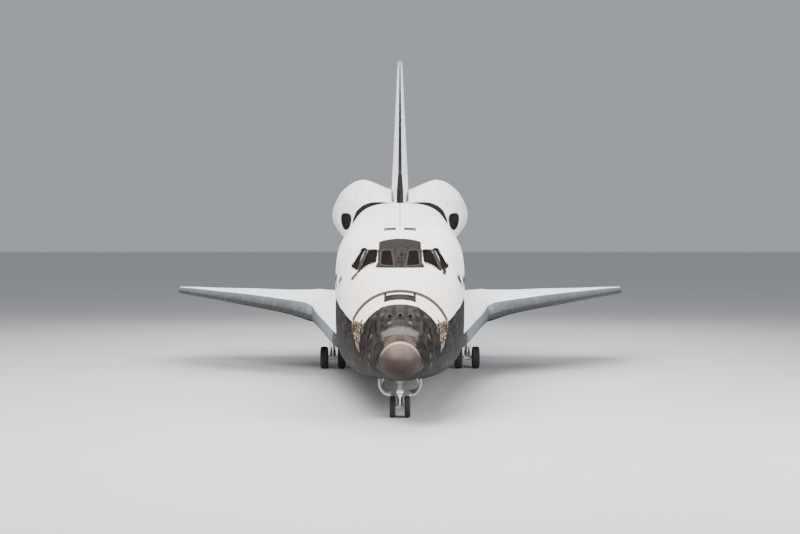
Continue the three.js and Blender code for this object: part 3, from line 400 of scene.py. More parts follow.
def make_wing():
    g = Mat("wing_insulation", 0.8, Specular_IOR_Level=0.12)
    st = g.attr("st", True)
    x, y, z = g.sep(st)
    white, wgap, _ = white_tones(g, x, y, st)
    white = g.mix(0.35, white, g.shade((0.86, 0.93, 1.0), 0.78))
    black, bgap, _ = black_tones(g, x, y, st, 6.0, 0.45)
    lowk = g.edge(g.attr("low") + (g.noise(st, 0.4) - 0.5) * 1.0, 0.5)
    c = g.mix(lowk, white, black)
    # dark tiles along the leading edge of the root
    rootk = g.edge(g.attr("lead"), 0.6)
    c = g.mix(rootk, c, g.shade((0.045, 0.045, 0.046), 0.55 + 0.9 * g.white(g.vec((x / 8.0).floor(), (z / 6.0).floor(), 5.0))))
    line = g.hi(g.edge(0.35 - abs(x - 1383.0), 0.3), g.edge(0.3 - abs(abs(y) - 312.0), 0.3) * g.edge(x - 1380.0, 1.0))
    c = g.mix(line * 0.7, c, (0.06, 0.055, 0.05))
    # faint panel lines
    pl = g.edge(abs((y / 56.0).fract() - 0.5) - 0.494, 0.004)
    c = g.mix(pl * 0.22 * (1.0 - lowk), c, (0.2, 0.2, 0.2))
    c = g.mix(g.edge(g.noise(g.vec(x * 0.06, y * 0.5, z * 0.1), 0.25, 3.0) - 0.66, 0.12) * 0.20, c, (0.25, 0.22, 0.2))
    g.set("Base Color", c)
    g.bump(-g.hi(wgap * 0.5, bgap * lowk), 0.01, 0.5)
    return g.m


def make_carbon():
    g = Mat("leading_edge_carbon", 0.52, Specular_IOR_Level=0.3)
    st = g.attr("st", True)
    x, y, z = g.sep(st)
    u, v, w = g.sep(g.attr("tc", True))
    k = (u / 19.6).fract() - 0.5
    seam = g.edge(abs(k) - 0.478, 0.012)
    r = g.white(g.vec((u / 19.6).floor(), 1.0, 4.0))
    n = g.noise(st, 0.08, 5.0, 0.65)
    c = g.mix(g.edge(n - 0.5, 0.5), (0.075, 0.085, 0.092), (0.14, 0.15, 0.157))
    c = g.shade(c, 0.93 + 0.13 * r)
    c = g.shade(c, 1.45 - 0.65 * g.edge(abs(y) - 175.0, 90.0))
    c = g.mix(g.edge(g.noise(st, 0.35, 3.0, 0.6) - 0.62, 0.06) * 0.4, c, (0.22, 0.215, 0.20))
    c = g.mix(seam * 0.85, c, (0.035, 0.035, 0.038))
    # painted shade: the lower side of the carbon is darkened, in tile-sized patches
    back = g.edge(g.attr("low"), 1.2)
    c = g.mix(back * 0.9, c, g.shade((0.05, 0.048, 0.047), 0.7 + 0.6 * g.white(g.vec((u / 6.0).floor(), (w / 5.0).floor(), 1.0))))
    g.set("Base Color", c)
    g.set("Roughness", 0.42 + 0.25 * n)
    g.bump(-seam * 1.0 + n * 0.2, 0.012, 0.6)
    return g.m


def make_cap():
    g = Mat("nose_cap_carbon", 0.5, Specular_IOR_Level=0.22)
    st = g.attr("st", True)
    x, y, z = g.sep(st)
    n = g.noise(st, 0.09, 6.0, 0.7)
    run = g.noise(g.vec(x * 0.35, y, z * 0.25), 0.16, 4.0, 0.6)
    # painted light and shade: the cap's dark carbon is painted darker towards the bottom and lighter towards the top
    h = g.edge(z - 348.0, 24.0)
    c = g.mix(g.edge(z - 323.0, 32.0), (0.006, 0.0042, 0.003), (0.042, 0.030, 0.0245))
    c = g.mix(h * 0.8, c, (0.20, 0.155, 0.13))
    c = g.shade(c, 0.5 + 0.55 * n + 0.45 * run)
    # painted highlight: a pale band inside the rim on the top of the cap
    c = g.mix(g.edge(4.6 - g.attr("rim"), 1.2) * h * 0.5, c, (0.60, 0.49, 0.41))
    c = g.mix(g.edge(g.noise(st, 0.6, 3.0) - 0.62, 0.1) * 0.2, c, (0.12, 0.095, 0.08))
    rim = g.edge(1.1 - g.attr("rim"), 0.7)
    c = g.mix(rim * 0.9, c, (0.022, 0.018, 0.016))
    g.set("Base Color", c)
    g.set("Roughness", 0.42 + 0.25 * n)
    g.bump(n, 0.004, 0.5)
    return g.m


def make_pod():
    g = Mat("pod_insulation", 0.8, Specular_IOR_Level=0.12)
    st = g.attr("st", True)
    x, y, z = g.sep(st)
    u, v, w = g.sep(g.attr("tc", True))
    white, gap, _ = white_tones(g, u, v, st)
    blot = g.noise(st, 0.075, 4.0, 0.6)
    white = g.mix(g.edge(blot - 0.52, 0.22) * 0.35, white, (0.38, 0.37, 0.36))
    bl = g.edge(g.noise(g.vec(u * 0.3, v, w), 0.12, 3.0) - 0.6, 0.1)
    white = g.mix(bl * 0.3, white, (0.5, 0.42, 0.36))
    black, _, _ = black_tones(g, u, v, st, 6.0, 0.35)
    k = g.edge(g.attr("black") + (g.noise(st, 0.5) - 0.5) * 1.4, 0.6)
    c = g.mix(k, white, black)
    c = g.mix(g.edge(g.attr("line"), 0.5) * 0.7, c, (0.1, 0.09, 0.08))
    g.set("Base Color", c)
    g.bump(-gap, 0.01, 0.5)
    return g.m


def make_fin():
    g = Mat("fin_insulation", 0.8, Specular_IOR_Level=0.12)
    st = g.attr("st", True)
    x, y, z = g.sep(st)
    white, gap, _ = white_tones(g, x, z, st)
    edge = g.attr("edge")
    black, bg, _ = black_tones(g, x, z, st, 6.0, 0.5)
    black = g.mix(0.6, black, (0.012, 0.016, 0.019))
    reach = 0.045 + g.edge(540.0 - z, 50.0) * 0.11
    k = g.edge(reach - edge + (g.noise(st, 0.3) - 0.5) * 0.008, 0.008)
    c = g.mix(k, white, black)
    tip = g.edge(z - 806.0, 1.0)
    c = g.mix(tip * 0.6, c, (0.3, 0.3, 0.3))
    c = g.mix(g.edge(g.attr("inner"), 0.02), c, (0.05, 0.048, 0.046))
    g.set("Base Color", c)
    g.bump(-g.hi(gap * 0.5, bg * k), 0.01, 0.5)
    return g.m


def make_tile(name="black_tile", wear=0.5):
    g = Mat(name, 0.6, Specular_IOR_Level=0.15)
    st = g.attr("st", True)
    x, y, z = g.sep(st)
    u, v, w = g.sep(g.attr("tc", True))
    c, gap, _ = black_tones(g, u, v, st, 6.0, wear)
    g.set("Base Color", c)
    g.bump(-gap, 0.01, 0.6)
    return g.m


def make_glass(name="window_glass"):
    g = Mat(name, 0.03, IOR=1.45, Transmission_Weight=0.25, Specular_IOR_Level=0.34)
    n = g.noise(g.obj(), 3.0, 2.0)
    g.set("Base Color", g.mix(n, (0.007, 0.0052, 0.0045), (0.019, 0.0135, 0.011)))
    g.set("Roughness", 0.02 + 0.03 * n)
    return g.m


def make_bell():
    g = Mat("engine_bell_metal", 0.38, 0.85)
    st = g.attr("st", True)
    u, v, w = g.sep(g.attr("tc", True))   # u along the bell, v round it
    n = g.noise(st, 0.12, 5.0, 0.6)
    tube = abs((v / 3.0).fract() - 0.5)
    c = g.mix(g.edge(n - 0.5, 0.5), (0.30, 0.27, 0.245), (0.50, 0.46, 0.42))
    c = g.mix(g.edge(u - 120.0, 90.0) * 0.55, c, (0.20, 0.165, 0.15))
    c = g.mix(g.edge(0.12 - tube, 0.1) * 0.45, c, (0.12, 0.11, 0.10))
    soot = g.edge(g.attr("inner"), 0.02)
    c = g.mix(soot * 0.75, c, (0.09, 0.075, 0.068))
    g.set("Base Color", c)
    g.set("Roughness", 0.32 + 0.25 * n)
    g.bump(tube, 0.012, 0.6)
    return g.m


def make_rubber():
    g = Mat("tyre_rubber", 0.86)
    o = g.obj()
    n = g.noise(o, 9.0, 5.0, 0.6)
    c = g.mix(g.edge(n - 0.45, 0.5), (0.012, 0.012, 0.013), (0.042, 0.040, 0.038))
    g.set("Base Color", c)
    g.set("Roughness", 0.74 + 0.2 * n)
    g.bump(n, 0.003, 0.5)
    return g.m


def make_liner():
    g = Mat("bay_liner", 0.85)
    st = g.attr("st", True)
    x, y, z = g.sep(st)
    a, b = g.tiles(x, g.attr("girth"), 14.0, 0.03)
    n = g.noise(st, 0.05, 4.0)
    c = g.shade((0.90, 0.88, 0.82), 0.62 + 0.10 * a + 0.2 * n - b * 0.22)
    g.set("Base Color", c)
    g.bump(-b + g.noise(st, 0.25) * 0.6, 0.02, 0.7)
    return g.m


def make_radiator():
    g = Mat("radiator_silver", 0.2, 0.9)
    st = g.attr("st", True)
    x, y, z = g.sep(st)
    k = g.edge(abs((x / 6.0).fract() - 0.5) - 0.46, 0.04)
    p = g.edge(abs((x / 90.0).fract() - 0.5) - 0.494, 0.006)
    n = g.noise(st, 0.06, 3.0)
    c = g.shade((0.78, 0.80, 0.83), 0.8 + 0.25 * n - 0.15 * k - 0.6 * p)
    g.set("Base Color", c)
    g.set("Roughness", 0.14 + 0.15 * n)
    g.bump(-k, 0.004, 0.4)
    return g.m


M = {
    "skin": make_skin(), "doors": make_doors(), "wing": make_wing(), "carbon": make_carbon(), "cap": make_cap(), "pod": make_pod(),
    "fin": make_fin(), "tile": make_tile(), "glass": make_glass(), "bell": make_bell(), "rubber": make_rubber(), "liner": make_liner(),
    "radiator": make_radiator(),
    "frame": simple("window_frame", (0.006, 0.0055, 0.0055), (0.028, 0.022, 0.019), 3.0, 0.7),
    "paint": simple("gear_paint", (0.62, 0.62, 0.60), (0.76, 0.75, 0.72), 1.6, 0.42, bump=0.001),
    "wheel": simple("wheel_metal", (0.42, 0.42, 0.41), (0.60, 0.59, 0.57), 5.0, 0.42, 0.7),
    "chrome": simple("strut_chrome", (0.66, 0.67, 0.69), (0.80, 0.80, 0.81), 3.0, 0.16, 1.0),
    "steel": simple("dark_steel", (0.12, 0.12, 0.12), (0.26, 0.25, 0.24), 4.0, 0.45, 0.8),
    "structure": simple("inner_structure", (0.19, 0.22, 0.17), (0.33, 0.36, 0.29), 1.2, 0.7),
    "well": simple("well_insulation", (0.42, 0.37, 0.30), (0.66, 0.60, 0.50), 1.5, 0.85, bump=0.004),
    # inside of the gear doors: their pale paint tinted tan as painted warm lamp light from below
    "door_in_painted_warm_light": simple("gear_door_inside_painted_warm_light", (0.52, 0.42, 0.32), (0.72, 0.62, 0.50), 2.0, 0.8),
    "hose": simple("hose_black", (0.015, 0.015, 0.016), (0.05, 0.05, 0.05), 8.0, 0.6),
    "bronze": simple("jet_rim", (0.014, 0.0115, 0.006), (0.048, 0.038, 0.020), 14.0, 0.7, 0.1),
    "soot": simple("engine_throat", (0.012, 0.011, 0.010), (0.045, 0.040, 0.036), 10.0, 0.8),
    "throat": simple("jet_throat", (0.05, 0.043, 0.022), (0.16, 0.135, 0.075), 10.0, 0.7),
    "nozzle": simple("pod_nozzle", (0.20, 0.18, 0.165), (0.36, 0.32, 0.29), 4.0, 0.45, 0.7),
    "trim": simple("cabin_trim", (0.12, 0.13, 0.14), (0.24, 0.25, 0.26), 3.0, 0.8),
    "fabric": simple("chair_fabric", (0.05, 0.06, 0.08), (0.12, 0.13, 0.15), 20.0, 0.9),
    "side_frame": simple("side_window_frame", (0.005, 0.0047, 0.0045), (0.020, 0.017, 0.015), 3.0, 0.75, Specular_IOR_Level=0.12),
    "plate_edge": simple("window_plate_edge", (0.055, 0.054, 0.053), (0.11, 0.105, 0.10), 4.0, 0.7, Specular_IOR_Level=0.2),
    "grey": simple("panel_grey", (0.20, 0.205, 0.21), (0.34, 0.34, 0.33), 4.0, 0.6),
    "orange": simple("lock_fitting", (0.45, 0.10, 0.03), (0.62, 0.18, 0.05), 6.0, 0.55),
}


# ---------------------------------------------------------------- mesh builder
class Build:
    """Collects shapes, in station inches, into one piece."""

    def __init__(self):
        self.v, self.f, self.m, self.tc, self.flat = [], [], [], [], []
        self.n = 0

    def add(self, verts, faces, mat=0, tc=None, flat=False):
        verts = np.asarray(verts, float).reshape(-1, 3)
        self.v.append(verts)
        self.tc.append(verts[:, [0, 1, 2]] if tc is None else np.asarray(tc, float).reshape(-1, 3))
        n = self.n
        self.f += [[i + n for i in f] for f in faces]
        self.m += [mat] * len(faces)
        self.flat += [flat] * len(faces)
        self.n += len(verts)
        return self

    def grid(self, p, mat=0, wrap=False, cap0=False, cap1=False, tc=None, flat=False):
        """p is rows of points; wrap closes each row on itself; caps fill the end rows."""
        p = np.asarray(p, float)
        r, c = p.shape[:2]
        faces = []
        cols = c if wrap else c - 1
        for i in range(r - 1):
            for j in range(cols):
                k = (j + 1) % c
                faces.append([i * c + j, i * c + k, (i + 1) * c + k, (i + 1) * c + j])
        if cap0:
            faces.append(list(range(c))[::-1])
        if cap1:
            faces.append([(r - 1) * c + j for j in range(c)])
        return self.add(p, faces, mat, tc, flat)

    def lathe(self, profile, origin, direction, seg=32, mat=0, closed=False, sweep=None, start=0.0):
        """profile: [along, radius] pairs; closed joins the last to the first."""
        o, d = np.asarray(origin, float), np.asarray(direction, float)
        d = d / np.linalg.norm(d)
        a = np.cross(d, [0, 0, 1.0] if abs(d[2]) < 0.9 else [1.0, 0, 0])
        a /= np.linalg.norm(a)
        b = np.cross(d, a)
        t = np.linspace(0, 2 * np.pi, seg, endpoint=False) if sweep is None else start + np.linspace(0, sweep, seg)
        prof = np.asarray(profile + [profile[0]] if closed else profile, float)
        p = o + prof[:, None, :1] * d + prof[:, None, 1:2] * (np.cos(t)[None, :, None] * a + np.sin(t)[None, :, None] * b)
        tc = np.stack([np.broadcast_to(prof[:, :1], p.shape[:2]), np.maximum(prof[:, 1:2], 6) * t[None, :], np.broadcast_to(prof[:, 1:2], p.shape[:2])], -1)
        return self.grid(p, mat, wrap=sweep is None, tc=tc)

    def rod(self, a, b, r, r2=None, seg=16, mat=0):
        a, b = np.asarray(a, float), np.asarray(b, float)
        length = np.linalg.norm(b - a)
        r2 = r if r2 is None else r2
        e = min(0.12 * min(r, r2) + 0.02, 0.3)
        return self.lathe([[0, 0.001], [0, r - e], [e, r], [length - e, r2], [length, r2 - e], [length, 0.001]], a, b - a, seg, mat)

    def box(self, x0, x1, y0, y1, z0, z1, mat=0):
        v = [[x, y, z] for x in (x0, x1) for y in (y0, y1) for z in (z0, z1)]
        return self.add(v, [[0, 1, 3, 2], [4, 6, 7, 5], [0, 4, 5, 1], [2, 3, 7, 6], [0, 2, 6, 4], [1, 5, 7, 3]], mat, flat=True)

    def prism(self, outline, axis, a, b, mat=0):
        out = np.asarray(outline, float)
        rows = []
        for v in (a, b):
            c = np.full(len(out), float(v))
            rows.append(np.stack({"x": [c, out[:, 0], out[:, 1]], "y": [out[:, 0], c, out[:, 1]], "z": [out[:, 0], out[:, 1], c]}[axis], -1))
        return self.grid(np.array(rows), mat, wrap=True, cap0=True, cap1=True, flat=True)

    def tube(self, path, r, seg=8, mat=0):
        path = np.asarray(path, float)
        t = np.gradient(path, axis=0)
        t /= np.linalg.norm(t, axis=1)[:, None]
        ref = np.array([0, 0, 1.0]) if abs(t[:, 2]).mean() < 0.8 else np.array([1.0, 0, 0])
        a = np.cross(t, ref)
        a /= np.linalg.norm(a, axis=1)[:, None]
        b = np.cross(t, a)
        f = np.linspace(0, 2 * np.pi, seg, endpoint=False)
        p = path[:, None] + r * (np.cos(f)[None, :, None] * a[:, None] + np.sin(f)[None, :, None] * b[:, None])
        return self.grid(p, mat, wrap=True, cap0=True, cap1=True)

    def arrays(self):
        return np.concatenate(self.v), self.f, self.m, np.concatenate(self.tc), self.flat

    def join(self, v, f, m, tc, flat):
        self.v.append(v)
        self.tc.append(tc)
        self.f += [[i + self.n for i in q] for q in f]
        self.m += list(m)
        self.flat += list(flat)
        self.n += len(v)
        return self


def curve(points, n=24):
    """A smooth path through points."""
    p = np.asarray(points, float)
    s = np.concatenate([[0], np.cumsum(np.linalg.norm(np.diff(p, axis=0), axis=1))])
    t = np.linspace(0, s[-1], n)
    return np.stack([pchip(s, p[:, k])(t) for k in range(3)], -1)


def piece(name, build, body, mats, nodes=(), slot=None, mirror=False, angle=32, attrs=None, tc_of=None):
    """Makes the piece.  attrs: name -> function of station points."""
    v, f, m, tc, flat = build.arrays() if isinstance(build, Build) else build
    st = v.copy()
    if tc_of is not None:
        tc = tc_of(v)
    if mirror:
        v = v * [1, -1, 1]
        st = v
        f = [q[::-1] for q in f]
    me = bpy.data.meshes.new(name)
    me.from_pydata(row(v).tolist(), [], f)
    bm = bmesh.new()
    bm.from_mesh(me)
    for i, (face, mat, fl) in enumerate(zip(bm.faces, m, flat)):
        face.material_index, face.smooth = mat, not fl
    bmesh.ops.recalc_face_normals(bm, faces=bm.faces)
    bm.to_mesh(me)
    bm.free()
    for key, data in (("st", st), ("tc", tc)):
        a = me.attributes.new(key, "FLOAT_VECTOR", "POINT")
        a.data.foreach_set("vector", np.ascontiguousarray(data, dtype=np.float32).ravel())
    for key, fn in (attrs or {}).items():
        a = me.attributes.new(key, "FLOAT", "POINT")
        a.data.foreach_set("value", np.ascontiguousarray(fn(st), dtype=np.float32).ravel())
    me.set_sharp_from_angle(angle=math.radians(angle))
    for k in mats:
        me.materials.append(M[k])
    o = bpy.data.objects.new(name, me)
    bpy.context.scene.collection.objects.link(o)
    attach(o, body)
    if nodes:
        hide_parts(*nodes)
    return o


def solid_mesh(build):
    """Plain Blender object of a build, in station inches, for boolean work."""
    v, f, m, _, flat = build.arrays()
    me = bpy.data.meshes.new("work")
    me.from_pydata(v.tolist(), [], f)
    me.polygons.foreach_set("material_index", m)
    bm = bmesh.new()
    bm.from_mesh(me)
    bmesh.ops.remove_doubles(bm, verts=bm.verts, dist=1e-4)
    bmesh.ops.recalc_face_normals(bm, faces=bm.faces)
    bm.to_mesh(me)
    bm.free()
    o = bpy.data.objects.new("work", me)
    bpy.context.scene.collection.objects.link(o)
    return o


def carve(build, cutters, slots=1):
    """The build less every cutter, as arrays for piece()."""
    base = solid_mesh(build)
    for k in range(slots):
        base.data.materials.append(None)
    for c in cutters:
        t = solid_mesh(c)
        count = 0
        for solver in ("MANIFOLD", "EXACT"):
            mod = base.modifiers.new("cut", "BOOLEAN")
            mod.object, mod.operation, mod.solver = t, "DIFFERENCE", solver
            dg = bpy.context.evaluated_depsgraph_get()
            got = bpy.data.meshes.new_from_object(base.evaluated_get(dg), depsgraph=dg)
            base.modifiers.remove(mod)
            count = len(got.polygons)
            if count and count != len(base.data.polygons):
                break
        if count:
            base.data = got
        bpy.data.objects.remove(t)
    me = base.data
    v = np.zeros(len(me.vertices) * 3)
    me.vertices.foreach_get("co", v)
    f = [list(p.vertices) for p in me.polygons]
    m = [p.material_index for p in me.polygons]
    v = v.reshape(-1, 3)
    bpy.data.objects.remove(base)
    return v, f, m, v.copy(), [False] * len(f)


# ---------------------------------------------------------------- trimming open skins
def skin_bm(xs, phi, closed=True):
    p = body_pts(xs, phi)
    r, c = p.shape[:2]
    bm = bmesh.new()
    vs = [bm.verts.new(q) for q in p.reshape(-1, 3)]
    for i in range(r - 1):
        for j in range(c if closed else c - 1):
            k = (j + 1) % c
            bm.faces.new([vs[i * c + j], vs[i * c + k], vs[(i + 1) * c + k], vs[(i + 1) * c + j]])
    return bm


def keep_side(bm, co, no):
    """Keeps the part on the side that the normal points away from."""
    g = bm.verts[:] + bm.edges[:] + bm.faces[:]
    bmesh.ops.bisect_plane(bm, geom=g, dist=1e-5, plane_co=co, plane_no=no, clear_outer=True)


def split_at(bm, co, no, near):
    fs = [f for f in bm.faces if near(f.calc_center_median())]
    es = list({e for f in fs for e in f.edges})
    vs = list({v for f in fs for v in f.verts})
    bmesh.ops.bisect_plane(bm, geom=vs + es + fs, dist=1e-5, plane_co=co, plane_no=no)


def basis(d):
    d = Vector(d).normalized()
    a = d.cross(Vector((0, 0, 1)) if abs(d.z) < 0.9 else Vector((1, 0, 0))).normalized()
    return d, a, d.cross(a)


def hole(bm, corners, d, near, inside=False):
    """Cuts the outline (3-D corners, in order) through the skin along d.
    Returns the edges of the hole's rim."""
    d = Vector(d).normalized()
    cs = [Vector(c) for c in corners]
    mid = sum(cs, Vector()) / len(cs)
    planes = []
    for i, a in enumerate(cs):
        n = (cs[(i + 1) % len(cs)] - a).cross(d).normalized()
        if n.dot(mid - a) > 0:
            n = -n
        planes.append((a, n))
        split_at(bm, a, n, near)
    def isin(p): return all((p - a).dot(n) < 1e-4 for a, n in planes)
    hit = [f for f in bm.faces if near(f.calc_center_median()) and isin(f.calc_center_median())]
    if inside:
        others = [f for f in bm.faces if f not in set(hit)]
        bmesh.ops.delete(bm, geom=others, context="FACES")
        return []
    was = {e for f in hit for e in f.edges}
    bmesh.ops.delete(bm, geom=hit, context="FACES")
    return [e for e in was if e.is_valid and e.is_boundary]


def lip(bm, edges, move, mat=1, steps=1):
    """Extrudes the rim; move is a vector, or a function of the point."""
    for _ in range(steps):
        r = bmesh.ops.extrude_edge_only(bm, edges=edges)["geom"]
        for v in [g for g in r if isinstance(g, bmesh.types.BMVert)]:
            v.co = v.co + Vector(move) if not callable(move) else Vector(move(v.co))
        for f in [g for g in r if isinstance(g, bmesh.types.BMFace)]:
            f.material_index = mat
        edges = [g for g in r if isinstance(g, bmesh.types.BMEdge) and g.is_boundary]
    return edges


def bm_arrays(bm):
    bm.verts.ensure_lookup_table()
    bm.verts.index_update()
    v = np.array([q.co[:] for q in bm.verts])
    f = [[q.index for q in p.verts] for p in bm.faces]
    m = [p.material_index for p in bm.faces]
    bm.free()
    return v, f, m, v.copy(), [False] * len(f)


# ---------------------------------------------------------------- painted areas, as signed distances in inches
SIDE = np.array([[382, 372.5], [387, 373], [418, 376.5], [450, 381], [490, 386], [546, 388], [590, 380], [620, 362], [645, 335], [665, 312], [700, 300],
                 [1307, 300], [1535, 320]])


def paint_black(p):
    x, y, z = p[:, 0], np.abs(p[:, 1]), p[:, 2]
    nose = np.where(y < 28.8, 331 + 3.4 * (y / 28.8) ** 2, 332.5) - x
    lowz = np.where(x < 382, 331 + (x - 318) * 0.69, np.interp(x, SIDE[:, 0], SIDE[:, 1]))
    nose = nose + np.where(z < 374, (z - 374) * 0.24, 0)
    lowz = np.where(x < 319, 600, lowz)
    slope = np.where((x > 590) & (x < 680), 0.72, 1.0)
    return np.maximum(nose, (lowz - z) * slope)


def paint_wedge(p):
    x, y, z = p[:, 0], np.abs(p[:, 1]), p[:, 2]
    return np.minimum(np.minimum(374.3 - z, x - 332.5 + (374 - z) * 0.24), z - (331 + (x - 318) * 0.69))


def paint_window(p):
    x, y, z = p[:, 0], np.abs(p[:, 1]), p[:, 2]
    half = np.where(z < 453, 38 - (z - 444.6) * 0.5, np.where(z < 471, 33.8, 32.4))
    return np.minimum(np.minimum(half - y, 500.6 - 8 * (y / 31.7) ** 2 - x), z - 444.6)


def seg_dist(p, a, b):
    a, b = np.asarray(a, float), np.asarray(b, float)
    t = np.clip(((p - a) @ (b - a)) / ((b - a) @ (b - a)), 0, 1)
    return np.linalg.norm(p - a - t[:, None] * (b - a), axis=1)


STAINS = [
    ((457.4, -60.7, 440.6), (456.3, -72.8, 427), 1.7, 1.9), ((463, 68.4, 440), (458, 66.8, 436), 2.4, 1.5),
    ((488, 89.5, 426), (509, 94, 415), 3.6, 1.6), ((499, 91, 429), (505, 95.5, 409), 2.4, 1.4), ((600, 102, 418), (548, 99, 412), 6.5, 1.5), ((536, 98, 421), (552, 100, 409), 3.5, 1.2),
    ((490, -89.8, 424), (505, -93.5, 417), 3.0, 1.4), ((496, -91, 427), (508, -95.5, 408), 2.0, 1.2), ((550, -99.5, 419), (600, -102.5, 414), 6.0, 1.3), ((540, -98, 409), (556, -100.5, 407), 3.0, 1.2), ((414, 60, 405), (436, 66, 409), 1.0, 0.5),
    ((414, -60, 404), (440, -68, 408), 1.1, 0.5), ((384, 74, 376), (400, 80, 377), 1.4, 0.8), ((384, -74, 376), (402, -80.5, 377), 1.4, 0.8),
    ((349, 20, 407), (349, 30, 404), 1.2, 0.7), ((349, -22, 407), (352, -34, 403), 1.2, 0.6),
]


def paint_stain(p):
    s = np.zeros(len(p))
    for a, b, r, k in STAINS:
        s = np.maximum(s, k * np.exp(-(seg_dist(p, a, b) / r) ** 2))
    return s * 1.6


def inner_of(limit):
    return lambda p: limit - level(p)


SKIN = {"black": paint_black, "wedge": paint_wedge, "window": paint_window, "stain": paint_stain, "inner": inner_of(0.988)}
PHI = np.linspace(0, 2 * np.pi, 240, endpoint=False)

# ---------------------------------------------------------------- nose cap
RIM_A, RIM_B = Vector((261, 0, 360)), Vector((266, 0, 305))
RIM_N = Vector((RIM_B.z - RIM_A.z, 0, RIM_A.x - RIM_B.x)).normalized()   # square to the rim, pointing forward or aft
if RIM_N.x < 0:
    RIM_N = -RIM_N


def rim_dist(p):
    return -((p - np.array(RIM_A)) @ np.array(RIM_N))


nose_x = np.concatenate([238.403 + 6 * np.linspace(0, 1, 14) ** 2, np.arange(246, 276, 1.25)])
bm = skin_bm(nose_x, PHI[::2])
keep_side(bm, RIM_A - RIM_N * 0.2, RIM_N)
tip = [e for e in bm.edges if e.is_boundary and (e.verts[0].co.x < 239.5)]
bmesh.ops.holes_fill(bm, edges=tip, sides=0)
rim = [e for e in bm.edges if e.is_boundary]
lip(bm, rim, lambda c: Vector((c.x + 0.5, c.y * 0.955, 331 + (c.z - 331) * 0.955)), 0)
piece("nose_cap_shell", bm_arrays(bm), "airframe", ["cap"], ["nose_cap"], attrs={"rim": rim_dist}, angle=50)

# ---------------------------------------------------------------- front body
front_x = np.concatenate([np.arange(256, 300, 1.5), np.arange(300, 400, 2.0), np.arange(400, 580, 2.4), [580.0]])
bm = skin_bm(front_x, PHI)
keep_side(bm, RIM_A + RIM_N * 0.15, -RIM_N)
rim = [e for e in bm.edges if e.is_boundary and e.verts[0].co.x < 300 and e.verts[1].co.x < 300]
lip(bm, rim, lambda c: Vector((c.x + 0.8, c.y * 0.93, 331 + (c.z - 331) * 0.93)), 1)
for f in bm.faces:
    if f.material_index == 1:
        f.material_index = 0

# thruster holes on top of the nose, with their bells
jets = Build()
JETS = [((308, y, 387), (292, y, 400), 3.6) for y in (-14.65, 0.0, 14.65)]
for s in (1, -1):
    JETS += [((352, s * 52, 362), (352, s * 82, 366), 2.6), ((362, s * 52, 362), (362, s * 82, 366), 2.6),
             ((345, s * 50, 372), (340, s * 70, 392), 2.4)]
for a, b, r in JETS:
    a, b = Vector(a), Vector(b)
    d, u, w = basis(b - a)
    ring = [a + u * r * math.cos(t) + w * r * math.sin(t) for t in np.linspace(0, 2 * math.pi, 20, endpoint=False)]
    def near(c, a=a, d=d, r=r): return ((c - a) - d * (c - a).dot(d)).length < r + 4 and (c - a).dot(d) > -2
    edges = hole(bm, ring, d, near)
    if edges:
        mouth = sum((e.verts[0].co for e in edges), Vector()) / len(edges)
        lip(bm, edges, -d * 3.0, 1)
        jets.lathe([[-8, 0.01], [-8, r * 0.45], [-4, r * 0.7], [-0.8, r * 0.97], [-0.4, r * 1.0]], mouth, d, 24, 1)
        wide = 1.45 if r > 3 else 1.2
        jets.lathe([[-0.6, r * 0.86], [0.15, r * 0.92], [0.3, r * 1.0], [0.3, r * (wide - 0.1)], [0.1, r * wide], [-1.2, r * wide]], mouth, d, 28, 0)
piece("nose_jets", jets, "airframe", ["bronze", "throat"])

# windows: outlines seen from ahead
PANES = {
    "front": [(9.4, 448), (29.7, 449.3), (27.9, 469.3), (13.9, 469.9)],
    "middle": [(37.8, 452.7), (60.6, 441), (48, 468.8), (35.7, 469.1)],
    "side": [(65, 441.4), (73, 445.4), (57.5, 470.2), (52.2, 470.5)],
}
OVERHEAD = [(536, 6.5), (535, 25), (556, 25), (557, 6.5)]
outlines = {k: [Vector((skin_x(y, z), y, z)) for y, z in v] for k, v in PANES.items()}
outlines["overhead"] = [Vector((x, y, skin_z(x, y))) for x, y in OVERHEAD]


def flat_frame(cs):
    c = sum(cs, Vector()) / 4
    u = (cs[1] + cs[2] - cs[0] - cs[3]).normalized()
    n = u.cross(cs[2] + cs[3] - cs[0] - cs[1]).normalized()
    if n.x > 0.2 or (abs(n.x) <= 0.2 and n.z < 0):
        n = -n
    return c, u, n.cross(u), n


def rounded(cs, c, u, w, inset, r=1.6, k=4):
    """Outline moved inwards, with rounded corners, in the plane (u, w) through c."""
    q = [np.array([(p - c).dot(u), (p - c).dot(w)]) for p in cs]
    lines = []
    for i in range(len(q)):
        d = q[(i + 1) % len(q)] - q[i]
        n = np.array([d[1], -d[0]]) / np.hypot(*d)
        if n @ q[i] < 0:
            n = -n
        lines.append((n, n @ q[i] - inset))
    pts = []
    for i in range(len(q)):
        (n0, k0), (n1, k1) = lines[i - 1], lines[i]
        corner = np.linalg.solve(np.array([n0, n1]), [k0, k1])
        e0 = np.linalg.solve(np.array([n0, n1]), [k0, k1 - r])
        e1 = np.linalg.solve(np.array([n0, n1]), [k0 - r, k1])
        for t in np.linspace(0, 1, k + 1):
            pts.append((1 - t) ** 2 * e0 + 2 * t * (1 - t) * corner + t * t * e1)
    return [c + u * float(a) + w * float(b) for a, b in pts]


